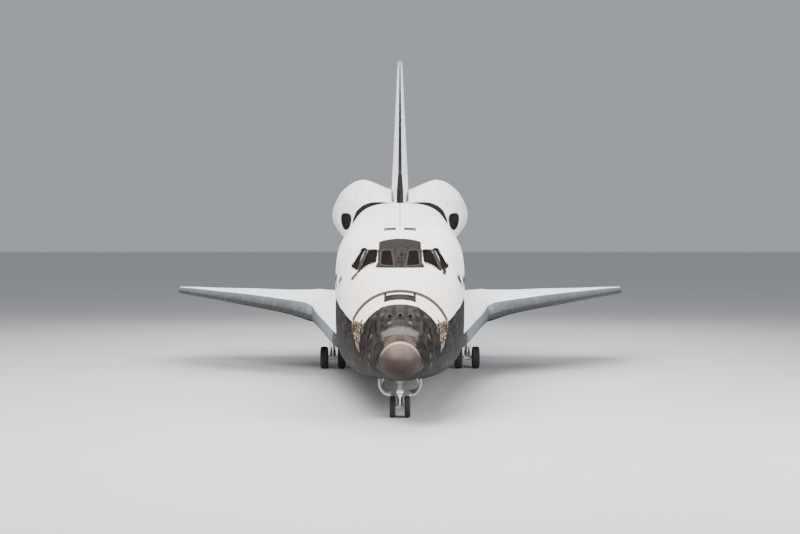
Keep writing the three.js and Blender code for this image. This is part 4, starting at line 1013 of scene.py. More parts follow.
frames = Build()
for name, cs in outlines.items():
    for s in (1, -1):
        q = [Vector((p.x, p.y * s, p.z)) for p in cs]
        c, u, w, n = flat_frame(q)
        aim = Vector((0, 0, 1)) if name == "overhead" else Vector((1, 0, 0))
        ring = rounded(q, c, u, w, 0.0, 1.2, 3)
        def near(p, c=c, name=name): return (p - c).length < 30 and (p.z > 436)
        edges = hole(bm, ring, n, near)
        lip(bm, edges, -n * 4.5, 1)
        # the pane, sunk a little, and the frame round it
        glass = Build()
        inner = rounded(q, c, u, w, 0.25, 1.4, 4)
        front_ = [p - n * 1.5 for p in inner]
        back_ = [p - n * 2.3 for p in inner]
        glass.grid([[tuple(p) for p in front_], [tuple(p) for p in back_]], 0, wrap=True, cap0=True, cap1=True, flat=True)
        side = "port" if s > 0 else "starboard"
        piece(f"{name}_pane_{side}", glass, "airframe", ["glass"], [f"{name}_window_{side}"], angle=20)
        rows = []
        band = ((-0.9, -1.2), (-0.6, 0.02), (-0.2, 0.06), (0.15, 0.0), (0.9, -0.9), (0.9, -2.6)) if name == "overhead" else \
            ((-2.2, -1.2), (-1.9, 0.42 if name == "front" else 0.95), (-0.5, 0.5 if name == "front" else 0.9), (0.15, 0.2), (0.9, -0.9), (0.9, -2.6))
        for inset, out in band:
            rows.append([tuple(p + n * out) for p in rounded(q, c, u, w, inset, 1.6 + max(0, -inset), 4)])
        frames.grid(rows, 2 if name in ("middle", "side") else 0, wrap=True)
for s in (1, -1):                         # pale edges of the plate between the middle and side panes
    for y0, y1, off in ((60.6, 48.0, 0.9), (65.0, 52.2, -0.9)):
        path = []
        for z in np.linspace(442.6, 469.0, 9):
            y = lerp(y0, y1, (z - 441.2) / 28.4) + off
            path.append((skin_x(y, z) - 1.3, s * y, z))
        frames.tube(path, 0.42, 8, 1)
piece("window_frames", frames, "airframe", ["frame", "plate_edge", "side_frame"], angle=40)

# crew hatch opening in the port wall
HX, HZ = 520.0, 357.0
hatch_skin = bm.copy()


def port_wall(p):
    return p.y > 80 and abs(p.x - HX) < 30 and abs(p.z - HZ) < 30


def disc(r, k=48):
    return [Vector((HX + r * math.cos(t), 0, HZ + r * math.sin(t))) for t in np.linspace(0, 2 * math.pi, k, endpoint=False)]


edges = hole(bm, disc(20.5), (0, 1, 0), port_wall)
lip(bm, edges, lambda c: Vector((c.x, c.y - 7, c.z)), 1)
hole(hatch_skin, disc(19.9), (0, 1, 0), port_wall, inside=True)
edges = hole(hatch_skin, [Vector((HX + 5 * math.cos(t), 0, HZ + 2 + 5 * math.sin(t))) for t in np.linspace(0, 2 * math.pi, 24, endpoint=False)], (0, 1, 0), port_wall)
lip(hatch_skin, edges, (0, -4.5, 0), 1)
outer = [e for e in hatch_skin.edges if e.is_boundary and math.hypot(e.verts[0].co.x - HX, e.verts[0].co.z - HZ) > 15]
edges = lip(hatch_skin, outer, lambda c: Vector((HX + (c.x - HX) * 0.925, c.y - 4.5, HZ + (c.z - HZ) * 0.925)), 1)
hatch = Build().join(*bm_arrays(hatch_skin))
hatch.lathe([[0, 5.0], [0, 18.4]], (HX, 92.8, HZ + 0.4), (0, 1, 0), 40, 1)
for t in range(0, 360, 45):   # latch feet and the handle inside
    cx, cz = HX + 15 * math.cos(math.radians(t)), HZ + 15 * math.sin(math.radians(t))
    hatch.box(cx - 1.1, cx + 1.1, 91.4, 92.9, cz - 1.1, cz + 1.1, 2)
hatch.rod((HX - 6, 91.5, HZ - 9), (HX + 6, 91.5, HZ - 9), 0.6, seg=10, mat=2)
piece("hatch_plug", hatch, "crew_hatch", ["skin", "frame", "wheel"], ["crew_hatch"], attrs={**SKIN, "inner": inner_of(0.9)}, tc_of=body_tc)
pane = Build().lathe([[-0.5, 0.001], [-0.5, 4.8], [0.5, 4.8], [0.5, 0.001]], (HX, 94.2, HZ + 2), (0, 1, 0), 24)
piece("hatch_pane", pane, "crew_hatch", ["glass"], ["hatch_window"])

# nose wheel well
WELL_X0, WELL_X1, WELL_TOP = 304.0, 392.0, 334.0
ring = [Vector((WELL_X0, -24, 280)), Vector((330, -28, 280)), Vector((WELL_X1, -28, 280)), Vector((WELL_X1, 28, 280)), Vector((330, 28, 280)), Vector((WELL_X0, 24, 280))]
edges = hole(bm, ring, (0, 0, 1), lambda p: p.z < 325 and 296 < p.x < 400 and abs(p.y) < 36)
edges = lip(bm, edges, lambda c: Vector((c.x, c.y, WELL_TOP - max(0.0, 310 - c.x) * 2)), 2)
bmesh.ops.holes_fill(bm, edges=edges, sides=0)
for f in bm.faces:
    if f.calc_center_median().z > 318 and 302 < f.calc_center_median().x < 393 and abs(f.calc_center_median().y) < 27 and f.calc_center_median().z < 336:
        f.material_index = 2

# split off the thruster module: ahead of x 379, above z 344
split_at(bm, Vector((379, 0, 0)), Vector((1, 0, 0)), lambda p: abs(p.x - 379) < 4)
split_at(bm, Vector((0, 0, 344)), Vector((0, 0, 1)), lambda p: abs(p.z - 344) < 8 and p.x < 383)
module = bm.copy()


def in_module(f):
    c = f.calc_center_median()
    return c.x < 379 and c.z > 344


bmesh.ops.delete(module, geom=[f for f in module.faces if not in_module(f)], context="FACES")
bmesh.ops.delete(bm, geom=[f for f in bm.faces if in_module(f)], context="FACES")
piece("nose_thruster_module", bm_arrays(module), "airframe", ["skin", "frame", "well"], ["forward_rcs_module"], attrs=SKIN, tc_of=body_tc)
shell = Build().join(*bm_arrays(bm))
# lining of the cabin, so that the windows look into a closed room
lin_x = np.linspace(447, 571, 30)
pts = body_pts(lin_x, np.linspace(0, 2 * np.pi, 64, endpoint=False), -8.0)
pts[..., 2] = np.maximum(pts[..., 2], 306)
pts[0, :, 2] = np.minimum(pts[0, :, 2], 436)
shell.grid(pts, 3, wrap=True, cap0=True, cap1=True)
shell.prism([(398.5, -6), (413, -6), (413, 6), (398.5, 6)], "z", 274.1, 284, 1)
piece("front_body_skin", shell, "airframe", ["skin", "frame", "well", "trim"], ["forward_fuselage"], attrs=SKIN, tc_of=body_tc)

# ---------------------------------------------------------------- mid body and bay
mid_x = np.concatenate([np.arange(580.3, 700, 5.0), np.arange(700, 1307, 14.0), [1307.0]])
bm = skin_bm(mid_x, PHI)
keep_side(bm, Vector((0, 0, 413)), Vector((0, 0, 1)))
body = Build().join(*bm_arrays(bm))
prof = [(float(HALF(900)) * (1 - (13 / 103.0) ** 2) ** 0.5, 413.0), (100, 413.2), (94.5, 413.2), (91.6, 411), (91, 400)]
arc = [(91 * math.cos(t), 400 + 91 * math.sin(t)) for t in np.linspace(0, -math.pi, 49)[1:-1]]
prof = prof + arc + [(-a, b) for a, b in prof[::-1]]
px = np.linspace(590, 1299, 60)
body.grid([[(x, a, b) for a, b in prof] for x in px], 1)
for x in np.arange(618, 1290, 56.7):      # frames standing out of the liner
    ring_ = [[(x + dx, (91 - h) * math.cos(t), 400 + (91 - h) * math.sin(t)) for t in np.linspace(0.0, -math.pi, 41)] for dx, h in ((-2.2, 0), (-1.6, 2.4), (1.6, 2.4), (2.2, 0))]
    body.grid(ring_, 1)
for s in (1, -1):                         # sill longeron and keel pieces
    body.prism([(s * 92, 404), (s * 92, 412.6), (s * 88.6, 412.6), (s * 88.6, 404)], "x", 592, 1297, 2)
    for x in np.arange(640, 1290, 59.0):
        body.box(x - 3, x + 3, *sorted((s * 93, s * 99)), 412.8, 415.2, 3)
body.box(930, 960, -9, 9, 305, 315, 3)
body.prism([(-20, 308.6), (20, 308.6), (17, 311.2), (-17, 311.2)], "x", 600, 1290, 2)


def bulkhead(x0, x1):
    hw, rise = float(HALF((x0 + x1) / 2)) - 9.5, float(TOP((x0 + x1) / 2) - MID((x0 + x1) / 2)) - 9.5
    zc = float(MID((x0 + x1) / 2))
    t = np.linspace(0, math.pi, 41)
    e = 2 / float(NU((x0 + x1) / 2))
    out = [(hw * math.copysign(abs(math.cos(a)) ** e, math.cos(a)), zc + rise * abs(math.sin(a)) ** e) for a in t]
    out += [(-a, b) for a, b in [(91, 380)]] + [(91 * math.cos(a), 400 + 91 * math.sin(a)) for a in np.linspace(-math.pi + 0.25, -0.25, 30)] + [(91, 380)]
    return out


body.prism(bulkhead(581, 590), "x", 581.2, 590, 1)
body.prism(bulkhead(1299, 1307), "x", 1299, 1306.8, 1)


def girth(p):
    return np.where(p[:, 2] < 400, np.arctan2(p[:, 1], 400 - p[:, 2]) * 91, p[:, 1] + p[:, 2] - 400)


piece("mid_body_skin", body, "airframe", ["skin", "liner", "structure", "wheel"], ["mid_fuselage"], attrs={**SKIN, "girth": girth}, tc_of=body_tc)

# bay doors
for side, s in (("port", 1), ("starboard", -1)):
    door = Build()
    xs = np.concatenate([[581.0, 582.5], np.linspace(590, 1298, 60), [1305.5, 1307.0]])
    rows = []
    for x in xs:
        rz, ry, c = float(TOP(x) - MID(x)), float(HALF(x)), float(MID(x))
        n = float(NU(x))
        def at(ry, rz, k):
            a0 = math.asin(((416 - c) / rz) ** (n / 2))
            out = []
            for t in np.linspace(0, 1, k):
                a = lerp(a0, math.pi / 2, t ** 1.3)
                out.append((x, max(ry * abs(math.cos(a)) ** (2 / n), 0.28), c + rz * math.sin(a) ** (2 / n)))
            return out
        rows.append(at(ry, rz, 40) + at(ry - 8, rz - 8, 40)[::-1])
    door.grid(rows, 0, wrap=True, cap0=True, cap1=True)
    # cooling panels inside the door
    for x0, x1 in ((602, 760), (766, 942), (948, 1122), (1128, 1288)):
        rows = []
        for off in (8.1, 9.6):
            for x in (x0, x1):
                a, n = np.linspace(0.1, 1.42, 36), float(NU(x))
                rows.append([(x, (105 - off) * math.cos(t) ** (2 / n), 400 + (103 - off) * math.sin(t) ** (2 / n)) for t in a])
        g0, g1, g2, g3 = rows
        door.grid([g0, g1, g3, g2, g0], 1)
    # hinge fittings along the lower edge, latch rollers along the top
    for x in np.arange(600, 1300, 53.0):
        door.rod((x - 3, 104.2, 416.6), (x + 3, 104.2, 416.6), 1.0, seg=12, mat=2)
        door.box(x - 2.4, x + 2.4, 99, 104.2, 415.8, 417.4, 2)
    for x in np.arange(640, 1300, 84.0):
        door.box(x - 4, x + 4, 3, 11, 490.5, 494.2, 2)
    piece(f"bay_door_shell_{side}", door, f"bay_door_{side}", ["doors", "radiator", "wheel"], [f"bay_door_{side}"], mirror=s < 0, attrs={}, tc_of=body_tc, angle=28)

# ---------------------------------------------------------------- aft body
aft = Build()
ax = np.concatenate([np.arange(1307.4, 1521, 9.0), [1524.0]])
aft.grid(body_pts(ax, PHI), 0, wrap=True, cap0=True, cap1=True)
cut = Build().prism([(1521, 276), (1600, 276), (1600, 560), (1466, 560), (1478, 500)], "y", -140, 140)
cuts = [cut, Build().prism([(1521, 200), (1600, 200), (1600, 277), (1521, 277)], "y", -140, 140)]
ENGINES = [("upper", 1445, 0, 443, 16, 0), ("port", 1468.2, 53, 342.6, 10, 3.5), ("starboard", 1468.2, -53, 342.6, 10, -3.5)]


def ball_cutter(c, r, k=40):
    b = Build()
    a = np.linspace(0, math.pi, k // 2 + 1)[1:-1]
    o = np.array(c, float)
    t = np.linspace(0, 2 * np.pi, k, endpoint=False)
    p = np.array([[o + [-r * math.cos(q), r * math.sin(q) * math.cos(w), r * math.sin(q) * math.sin(w)] for w in t] for q in a])
    return b.grid(p, 1, wrap=True, cap0=True, cap1=True)


for _, x, y, z, _, _ in ENGINES:
    cuts.append(ball_cutter((x, y, z), 52.0))
t = np.linspace(0, 2 * math.pi, 32, endpoint=False)
cuts.append(Build().prism([(1532 + 10.7 * math.cos(a), 285 + 10.7 * math.sin(a)) for a in t], "y", -130, 130))
arrays = carve(aft, cuts, 2)
back = Build().join(*arrays)
for s in (1, -1):
    back.box(1312, 1324, *sorted((s * 78, s * 90)), 266.7, 272, 0)


def aft_inner(p):
    base = 1521 - (p[:, 2] - 276) * (43.0 / 224.0) - p[:, 0]      # ahead of the slanting base
    return np.maximum(0.985 - level(p), np.where(base < 0.6, 0.02, -0.02))


piece("aft_body_skin", back, "airframe", ["skin", "tile"], ["aft_fuselage"], attrs={**SKIN, "inner": aft_inner}, tc_of=body_tc, angle=28)

# ---------------------------------------------------------------- pods
POD = np.array([[8, 114], [11.7, 127], [15.3, 138.9], [21.1, 156.5], [27, 166.5], [33.8, 171.5], [44.8, 176.5], [53.4, 175.5], [61.1, 169], [66.8, 155.5], [74, 138.5], [81.7, 126]])
GROWTH = np.array([[1309, 0.04], [1320, 0.22], [1335, 0.42], [1355, 0.62], [1380, 0.8], [1410, 0.93], [1440, 1], [1480, 1], [1511, 0.96]])
pod_r, pod_g = pchip(POD[:, 0], POD[:, 1]), pchip(GROWTH[:, 0], GROWTH[:, 1])


def pod_rows():
    xs = np.concatenate([1309 + 46 * np.linspace(0, 1, 18) ** 1.4, np.linspace(1362, 1506, 22), [1509.5, 1511]])
    rows, tcs = [], []
    for x in xs:
        ry, rz, c, g = float(HALF(x)) + 0.8, float(TOP(x) - MID(x)) + 0.8, float(MID(x)), float(pod_g(x))
        if x > 1509:
            g -= (x - 1509) * 0.02
        n = float(NU(x))
        def skin(a): return ((math.cos(a) / ry) ** n + (math.sin(a) / rz) ** n) ** (-1 / n)
        out = []
        for ang in np.linspace(8, 81.7, 56):
            a = math.radians(ang)
            r = skin(a) + g * (float(pod_r(ang)) - skin(a))
            out.append([x, r * math.cos(a), c + r * math.sin(a)])
        last = out[-1]
        if last[1] < 18.6:
            last[1] = 18.6
        inner = []
        for ang in np.linspace(80.2, 9, 24):
            a = math.radians(ang)
            r = skin(a) - 0.3
            inner.append([x, max(r * math.cos(a), 18.6), c + r * math.sin(a)])
        rows.append(out + inner)
        q = np.array(out + inner)
        d = np.concatenate([[0], np.cumsum(np.linalg.norm(np.diff(q, axis=0), axis=1))])
        tcs.append(np.stack([q[:, 0] * 1.15, d, q[:, 2] * 0], -1))
    return np.array(rows), np.array(tcs)


def pod_black(p):
    x, y, z = p[:, 0], np.abs(p[:, 1]), p[:, 2]
    # arc along the front foot of the pod, wider at the side
    wide = np.interp(y, [18, 30, 48, 62, 80, 92, 100], [0.6, 2.4, 5.2, 7.6, 8.6, 8.0, 3.5])
    arc_ = np.minimum(wide - (level(p) - 1) * 100, 99.5 - y)
    arc_ = np.where((x < 1372) & (y > 17) & (z > 440), arc_, -5)
    up = z > 468
    n = np.where(up, 3.0, 1.8)
    oval = 1 - (np.abs((y - 114.3) / 11.8) ** n + np.abs((z - 468) / np.where(up, 13.0, 23.0)) ** n) ** (1 / n)
    oval = np.where(x < 1385, oval * 11, -5)
    return np.maximum(arc_, oval)


def pod_line(p):
    x, y, z = p[:, 0], np.abs(p[:, 1]), p[:, 2]
    return 0.5 - np.minimum(np.abs(y - 33 + (z - 520) * 0.1) + (z < 505) * 9, np.abs(x - 1400) * 1.0)


rows, tcs = pod_rows()
for side, s in (("port", 1), ("starboard", -1)):
    b = Build()
    b.grid(rows, 0, wrap=True, cap0=True, cap1=True)
    arrays = carve(b, [ball_cutter((1518, 88, 492), 13.2, 32)], 2)
    tcv = arrays[0].copy()
    ang = np.arctan2(arrays[0][:, 2] - 400, arrays[0][:, 1])
    tcv = np.stack([arrays[0][:, 0] * 1.1, ang * 160, arrays[0][:, 2] * 0], -1)
    b = Build().join(arrays[0], arrays[1], arrays[2], tcv, arrays[4])
    # thruster housing on the outer flank
    hous = []
    for x, z0, z1, y0, y1 in ((1470, 452, 498, 118, 142), (1484, 447, 500, 114, 147), (1500, 444, 500, 113.5, 149), (1540, 447, 499, 115, 149), (1564, 450, 496, 116, 147.5), (1566, 451, 495, 117, 146.5)):
        t = np.linspace(0, 2 * np.pi, 48, endpoint=False)
        n = 2.7
        rho = (np.abs(np.cos(t)) ** n + np.abs(np.sin(t)) ** n) ** (-1 / n)
        yc, zc = (y0 + y1) / 2, (z0 + z1) / 2
        hous.append(np.stack([np.full_like(t, x), yc + (y1 - y0) / 2 * rho * np.cos(t), zc + (z1 - z0) / 2 * rho * np.sin(t)], -1))
    b.grid(hous, 0, wrap=True, cap0=True, cap1=True)
    for x, z in ((1512, 492), (1526, 492), (1540, 492), (1554, 490)):          # side and top firing jets
        b.lathe([[-2.5, 0.01], [-2.5, 2.2], [0.4, 4.2], [0.9, 4.5], [0.9, 5.0], [-1.0, 5.0]], (x, 148.2, z - 18), (0, 1, 0.1), 20, 1)
    for x in (1514, 1528, 1542):
        b.lathe([[-2.5, 0.01], [-2.5, 2.2], [0.2, 4.0], [0.7, 4.3], [0.7, 4.8], [-2.0, 4.8]], (x, 132, 499.4), (0, 0.15, 1), 20, 1)
        b.lathe([[-2.5, 0.01], [-2.5, 2.2], [0.2, 4.0], [0.7, 4.3], [0.7, 4.8], [-2.0, 4.8]], (x, 132, 446.4), (0, 0.1, -1), 20, 1)
    for y, z in ((126, 488), (138, 488), (132, 468)):
        b.lathe([[-2.5, 0.01], [-2.5, 2.4], [0.2, 4.6], [0.8, 5.0], [0.8, 5.5], [-1.0, 5.5]], (1566, y, z), (1, 0, 0), 20, 1)
    piece(f"pod_shell_{side}", b, "airframe", ["pod", "nozzle"], [f"oms_pod_{side}"], mirror=s < 0, attrs={"black": pod_black, "line": pod_line}, angle=35)

# ---------------------------------------------------------------- engines
for name, x, y, z, pitch, yaw in ENGINES:
    cp, sp, cy, sy = math.cos(math.radians(pitch)), math.sin(math.radians(pitch)), math.cos(math.radians(yaw)), math.sin(math.radians(yaw))
    d = np.array([cp * cy, cp * sy, sp])
    o = np.array([x, y, z], float)
    b = Build()
    R = 50.0
    dome = [[(R - 3.2) * math.cos(t), max((R - 3.2) * math.sin(t), 0.01)] for t in np.radians(np.linspace(0, 48, 12))]
    dome += [[R * math.cos(t), R * math.sin(t)] for t in np.radians(np.linspace(48, 30, 10))]
    b.lathe(dome, o, d, 64, 2)
    bell = pchip([38, 46, 62, 80, 105, 130, 157], [14, 17.5, 24, 31.3, 38.6, 43.6, 47])
    s_ = np.linspace(40, 157, 60)
    b.lathe([[a, float(bell(a)) - 0.35] for a in s_] + [[157, 45.4]], o, d, 96, 0)
    b.lathe([[a, float(bell(a)) - 1.7] for a in s_[::-1]], o, d, 96, 1)
    b.lathe([[53, 0.01], [53, 8], [50, 9], [50, 19]], o, d, 48, 1)
    for a in (66, 80, 94, 107, 119, 130, 141, 150):              # bands round the bell
        r = float(bell(a))
        b.lathe([[a - 1.3, r - 0.6], [a - 0.9, r + 0.35 if a > 140 else r + 0.9], [a + 0.9, r + 0.35 if a > 140 else r + 0.9], [a + 1.3, r - 0.6]], o, d, 72, 0)
    b.lathe([[154.2, 46.2], [154.6, 46.95], [156.9, 46.95], [157, 45.3]], o, d, 72, 0)
    # feed lines beside the throat and three drain pipes down the bell
    u1 = np.cross(d, [0, 1, 0]); u1 /= np.linalg.norm(u1)
    u2 = np.cross(d, u1)
    for k in range(3):
        t = math.radians(90 + 120 * k)
        e = math.cos(t) * u1 + math.sin(t) * u2
        path = [o + d * a + e * (float(bell(a)) + 0.9) for a in np.linspace(60, 138, 20)]
        b.tube(path, 0.7, 8, 0)
    ring_t = np.linspace(0, 2 * np.pi, 49)
    b.tube([o + d * 58 + (math.cos(t) * u1 + math.sin(t) * u2) * 25.0 for t in ring_t], 1.9, 12, 0)
    axis, centre = d, o

    def inner(p, axis=axis, centre=centre):
        return np.full(len(p), -0.05)

    ob = piece(f"engine_bell_{name}", b, f"main_engine_{name}", ["bell", "soot", "well"], [f"main_engine_{name}"], attrs={"inner": inner}, angle=30)

for side, s in (("port", 1), ("starboard", -1)):
    p_, y_ = math.radians(15.8), math.radians(6.5)
    d = np.array([math.cos(p_) * math.cos(y_), math.cos(p_) * math.sin(y_), math.sin(p_)])
    o = np.array([1518, 88, 492], float)
    b = Build()
    prof = pchip([0, 10, 14, 24, 38, 56], [6, 6.5, 8, 13, 18, 21.5])
    s_ = np.linspace(0, 56, 30)
    b.lathe([[0, 0.01]] + [[a, float(prof(a))] for a in s_] + [[56, 20.6]], o, d, 48, 0)
    b.lathe([[56, 20.6]] + [[a, float(prof(a)) - 0.9] for a in s_[::-1] if a > 12] + [[12, 0.01]], o, d, 48, 1)
    for a in (30, 44):
        b.lathe([[a - 0.7, float(prof(a)) - 0.2], [a - 0.4, float(prof(a)) + 0.5], [a + 0.4, float(prof(a)) + 0.5], [a + 0.7, float(prof(a)) - 0.2]], o, d, 48, 0)
    piece(f"pod_engine_{side}", b, "airframe", ["nozzle", "soot"], [f"oms_engine_{side}"], mirror=s < 0)

# ---------------------------------------------------------------- fin and rudder
FIN = dict(leX0=1277.9, teX0=1546.4, z0=500.0, leX1=1593.6, teX1=1702.0, z1=815.7, hx0=1439.0, hx1=1658.7)


def fin_at(z):
    t = (z - FIN["z0"]) / (FIN["z1"] - FIN["z0"])
    return lerp(FIN["leX0"], FIN["leX1"], t), lerp(FIN["teX0"], FIN["teX1"], t), lerp(FIN["hx0"], FIN["hx1"], t), np.where(z < 530, lerp(15.5, 18.1, (z - 503.6) / 26.4), lerp(18.1, 5.2, (z - 530) / 285.7))


share = pchip([0, 0.02, 0.1, 0.3, 0.6, 1.0], [0.06, 0.17, 0.34, 0.62, 0.9, 1.0])
_hl = math.hypot(FIN["hx1"] - FIN["hx0"], FIN["z1"] - FIN["z0"])
UP = ((FIN["hx1"] - FIN["hx0"]) / _hl, (FIN["z1"] - FIN["z0"]) / _hl)
AFT = (UP[1], -UP[0])


def in_plane(z, s, y):
    h = fin_at(z)[2]
    return (h + AFT[0] * s, y, z + AFT[1] * s)


def nose_r(z):
    return fin_at(z)[3] * 0.985


def chord_to(z):
    m = (FIN["teX1"] - FIN["teX0"]) / (FIN["z1"] - FIN["z0"])
    return (FIN["teX0"] + m * (z - FIN["z0"]) - fin_at(z)[2]) / (AFT[0] - m * AFT[1])


def fin_ring(z, squeeze=1.0):
    le, te, h, half = fin_at(z)
    f = np.concatenate([[0, 0.004, 0.01, 0.02, 0.035], np.linspace(0.055, 1.0, 26)])
    side = [(lerp(le, h, q), half * squeeze * float(share(q)) * (1 if q > 0.004 else (0.4 if q == 0 else 0.75))) for q in f]
    side += [(lerp(h, te, q), half * squeeze * lerp(1.0, 0.05, q)) for q in np.linspace(0.08, 1, 12)]
    return [(x, y, z) for x, y in side] + [(x, -y, z) for x, y in side[::-1]]


fin = Build()
fin.grid([fin_ring(z) for z in np.concatenate([[503.6], np.arange(512, 812, 7.5), [814.2]])] + [fin_ring(815.5, 0.85)], 0, wrap=True, cap0=True, cap1=True)
RZ0, RZ1, LIP = 605.0, 782.0, 0.7
SEAT = math.hypot(1, LIP)
cone = Build()
a, b_ = np.array(in_plane(RZ0 - 0.6, 0, 0)), np.array(in_plane(RZ1 + 0.6, 0, 0))
L = np.linalg.norm(b_ - a)
t = np.linspace(0, 2 * np.pi, 40, endpoint=False)
ua = np.array([AFT[0], 0, AFT[1]])
ring0 = [a + (math.cos(q) * ua + math.sin(q) * np.array([0, 1, 0])) * (nose_r(RZ0 - 0.6) * SEAT + 0.7) for q in t]
ring1 = [b_ + (math.cos(q) * ua + math.sin(q) * np.array([0, 1, 0])) * (nose_r(RZ1 + 0.6) * SEAT + 0.7) for q in t]
cone.grid([ring0, ring1], 1, wrap=True, cap0=True, cap1=True)
behind = Build()
behind.grid([[in_plane(z, 0, -40), in_plane(z, 0, 40), in_plane(z, 130, 40), in_plane(z, 130, -40)] for z in (RZ0 - 0.6, RZ1 + 0.6)], 1, wrap=True, cap0=True, cap1=True)
under = Build().prism([(1488, 480), (1495, 503), (1575, 572), (1640, 560), (1640, 480)], "y", -40, 40, 1)
ahead = Build().prism([(1200, 480), (1309, 480), (1309, 560), (1200, 560)], "y", -40, 40, 1)
arrays = carve(fin, [cone, behind, under, ahead], 2)


def fin_edge(p):
    le, te, h, half = fin_at(p[:, 2])
    return (p[:, 0] - le) / (h - le)


def fin_inner(p):
    le, te, h, half = fin_at(p[:, 2])
    f = (p[:, 0] - le) / (h - le)
    w = np.where(f <= 1, share(np.clip(f, 0, 1)), lerp(1.0, 0.05, np.clip((p[:, 0] - h) / (te - h), 0, 1))) * half
    return np.where((np.abs(p[:, 1]) < w * 0.96 - 0.3) & (f > 0.6) & (p[:, 2] < 814) & (p[:, 2] > 504), 0.05, -0.05)


piece("fin_skin", arrays, "airframe", ["fin", "tile"], ["vertical_fin"], attrs={"edge": fin_edge, "inner": fin_inner}, angle=28)

for side, s in (("port", 1), ("starboard", -1)):
    b = Build()
    rows = []
    for z in np.concatenate([[605.0, 605.6], np.linspace(612, 776, 20), [781.5, 782.0]]):
        r, c = nose_r(z), chord_to(z)
        core = 3.1
        pts = [(core, 0.12), (c, 0.12), (c, 0.7)]
        pts += [(lerp(c, 0, q), lerp(0.7, r, q)) for q in (0.12, 0.3, 0.5, 0.7, 0.85, 0.94, 1.0)]
        pts += [(-LIP * r * 0.5, r), (-LIP * r, r)]
        back_a = 90 + math.degrees(math.atan(LIP))
        pts += [(core * math.cos(math.radians(a)), core * math.sin(math.radians(a))) for a in np.linspace(back_a, 35, 8)]
        rows.append([in_plane(z, q, w) for q, w in pts])
    b.grid(rows, 0, wrap=True, cap0=True, cap1=True)
    piece(f"rudder_skin_{side}", b, f"rudder_panel_{side}", ["fin"], [f"rudder_panel_{side}"], mirror=s < 0,
          attrs={"edge": fin_edge, "inner": lambda p: np.where(np.abs(p[:, 1]) < 0.3, 0.05, -0.05)}, angle=28)

# ---------------------------------------------------------------- wings
WING = np.array([[92, 305.5, 286, 65], [105, 303.5, 286.5, 65], [130, 300.5, 287, 64.5], [168.7, 304, 288, 58.5], [190, 307.5, 289.5, 52], [225, 311, 291.5, 43],
                 [312, 314.5, 296, 33], [380, 316, 300, 24], [435, 317, 303.5, 18.5], [468.3, 317.5, 305.5, 14]])
w_le, w_te, w_th = [pchip(WING[:, 0], WING[:, k]) for k in (1, 2, 3)]
GS = (836.06 + 168.7 - 607) / (168.7 - 105)


def le_x(y):
    y = np.asarray(y, float)
    return np.where(y <= 168.7, 607 + (y - 105) * GS, 836.06 + y)


def te_x(y):
    return 1525.3 - 0.1774 * np.asarray(y, float)


def rcc_x(y):
    y = np.asarray(y, float)
    deep = np.interp(y, [113, 135, 152, 162], [7.6, 7.2, 4.4, 3.4])
    return np.minimum(le_x(y) + np.where(y < 168.7, deep * math.hypot(1, GS), 1e9), 836.06 + y + 15 * math.sqrt(2))


def foil(f):
    return 5 * (0.2969 * np.sqrt(f) - 0.126 * f - 0.3516 * f * f + 0.2843 * f ** 3 - 0.1036 * f ** 4)


def wing_z(x, y):
    a, b = le_x(y), te_x(y)
    f = np.clip((x - a) / (b - a), 0, 1)
    blunt = np.where(y > 180, 1.0, np.where(y < 140, 1.5, 1.5 - 0.5 * (y - 140) / 40))
    mean, t = lerp(w_le(y), w_te(y), f), w_th(y) * foil(f ** blunt)
    return mean + 1.16 * t + 0.35, mean - 0.84 * t - 0.35


ELX, EL_IN, EL_OUT, SPLIT = 1387.0, 116.5, 435.0, 312.0


def wing_row(y, xs):
    top_, bot = wing_z(xs, y)
    return np.concatenate([np.stack([xs, np.full_like(xs, y), top_], -1), np.stack([xs, np.full_like(xs, y), bot], -1)[::-1]])


def low_of(p):
    y = np.abs(p[:, 1])
    mid_ = lerp(w_le(y), w_te(y), np.clip((p[:, 0] - le_x(y)) / (te_x(y) - le_x(y)), 0, 1))
    return mid_ + 0.06 * 0 - p[:, 2]


fr = np.concatenate([np.linspace(0, 1, 30) ** 1.6])
wing = Build()
ys = np.concatenate([np.arange(92, 168, 3.5), [168.7], np.arange(173, 436, 9.0), [435.8]])
wing.grid([wing_row(y, lerp(float(rcc_x(y)) + 0.5, ELX, fr)) for y in ys], 0, wrap=True, cap0=True, cap1=True)
end = Build()
end.grid([wing_row(y, lerp(float(rcc_x(y)) + 0.5, float(te_x(y)), fr)) for y in np.linspace(435.8, 468.3, 6)], 0, wrap=True, cap0=True, cap1=True)
root_ = Build()
root_.grid([wing_row(y, lerp(max(float(le_x(y)), 587.0), float(rcc_x(y)) + 3, np.linspace(0, 1, 14) ** 2)) for y in (92, 96, 100, 104, 108, 112.6)], 0, wrap=True, cap0=True, cap1=True)
cuts = []


def half_at(y):
    a, b = wing_z(ELX, y)
    return float(a - b) / 2


def mid_at(y):
    a, b = wing_z(ELX, y)
    return float(a + b) / 2


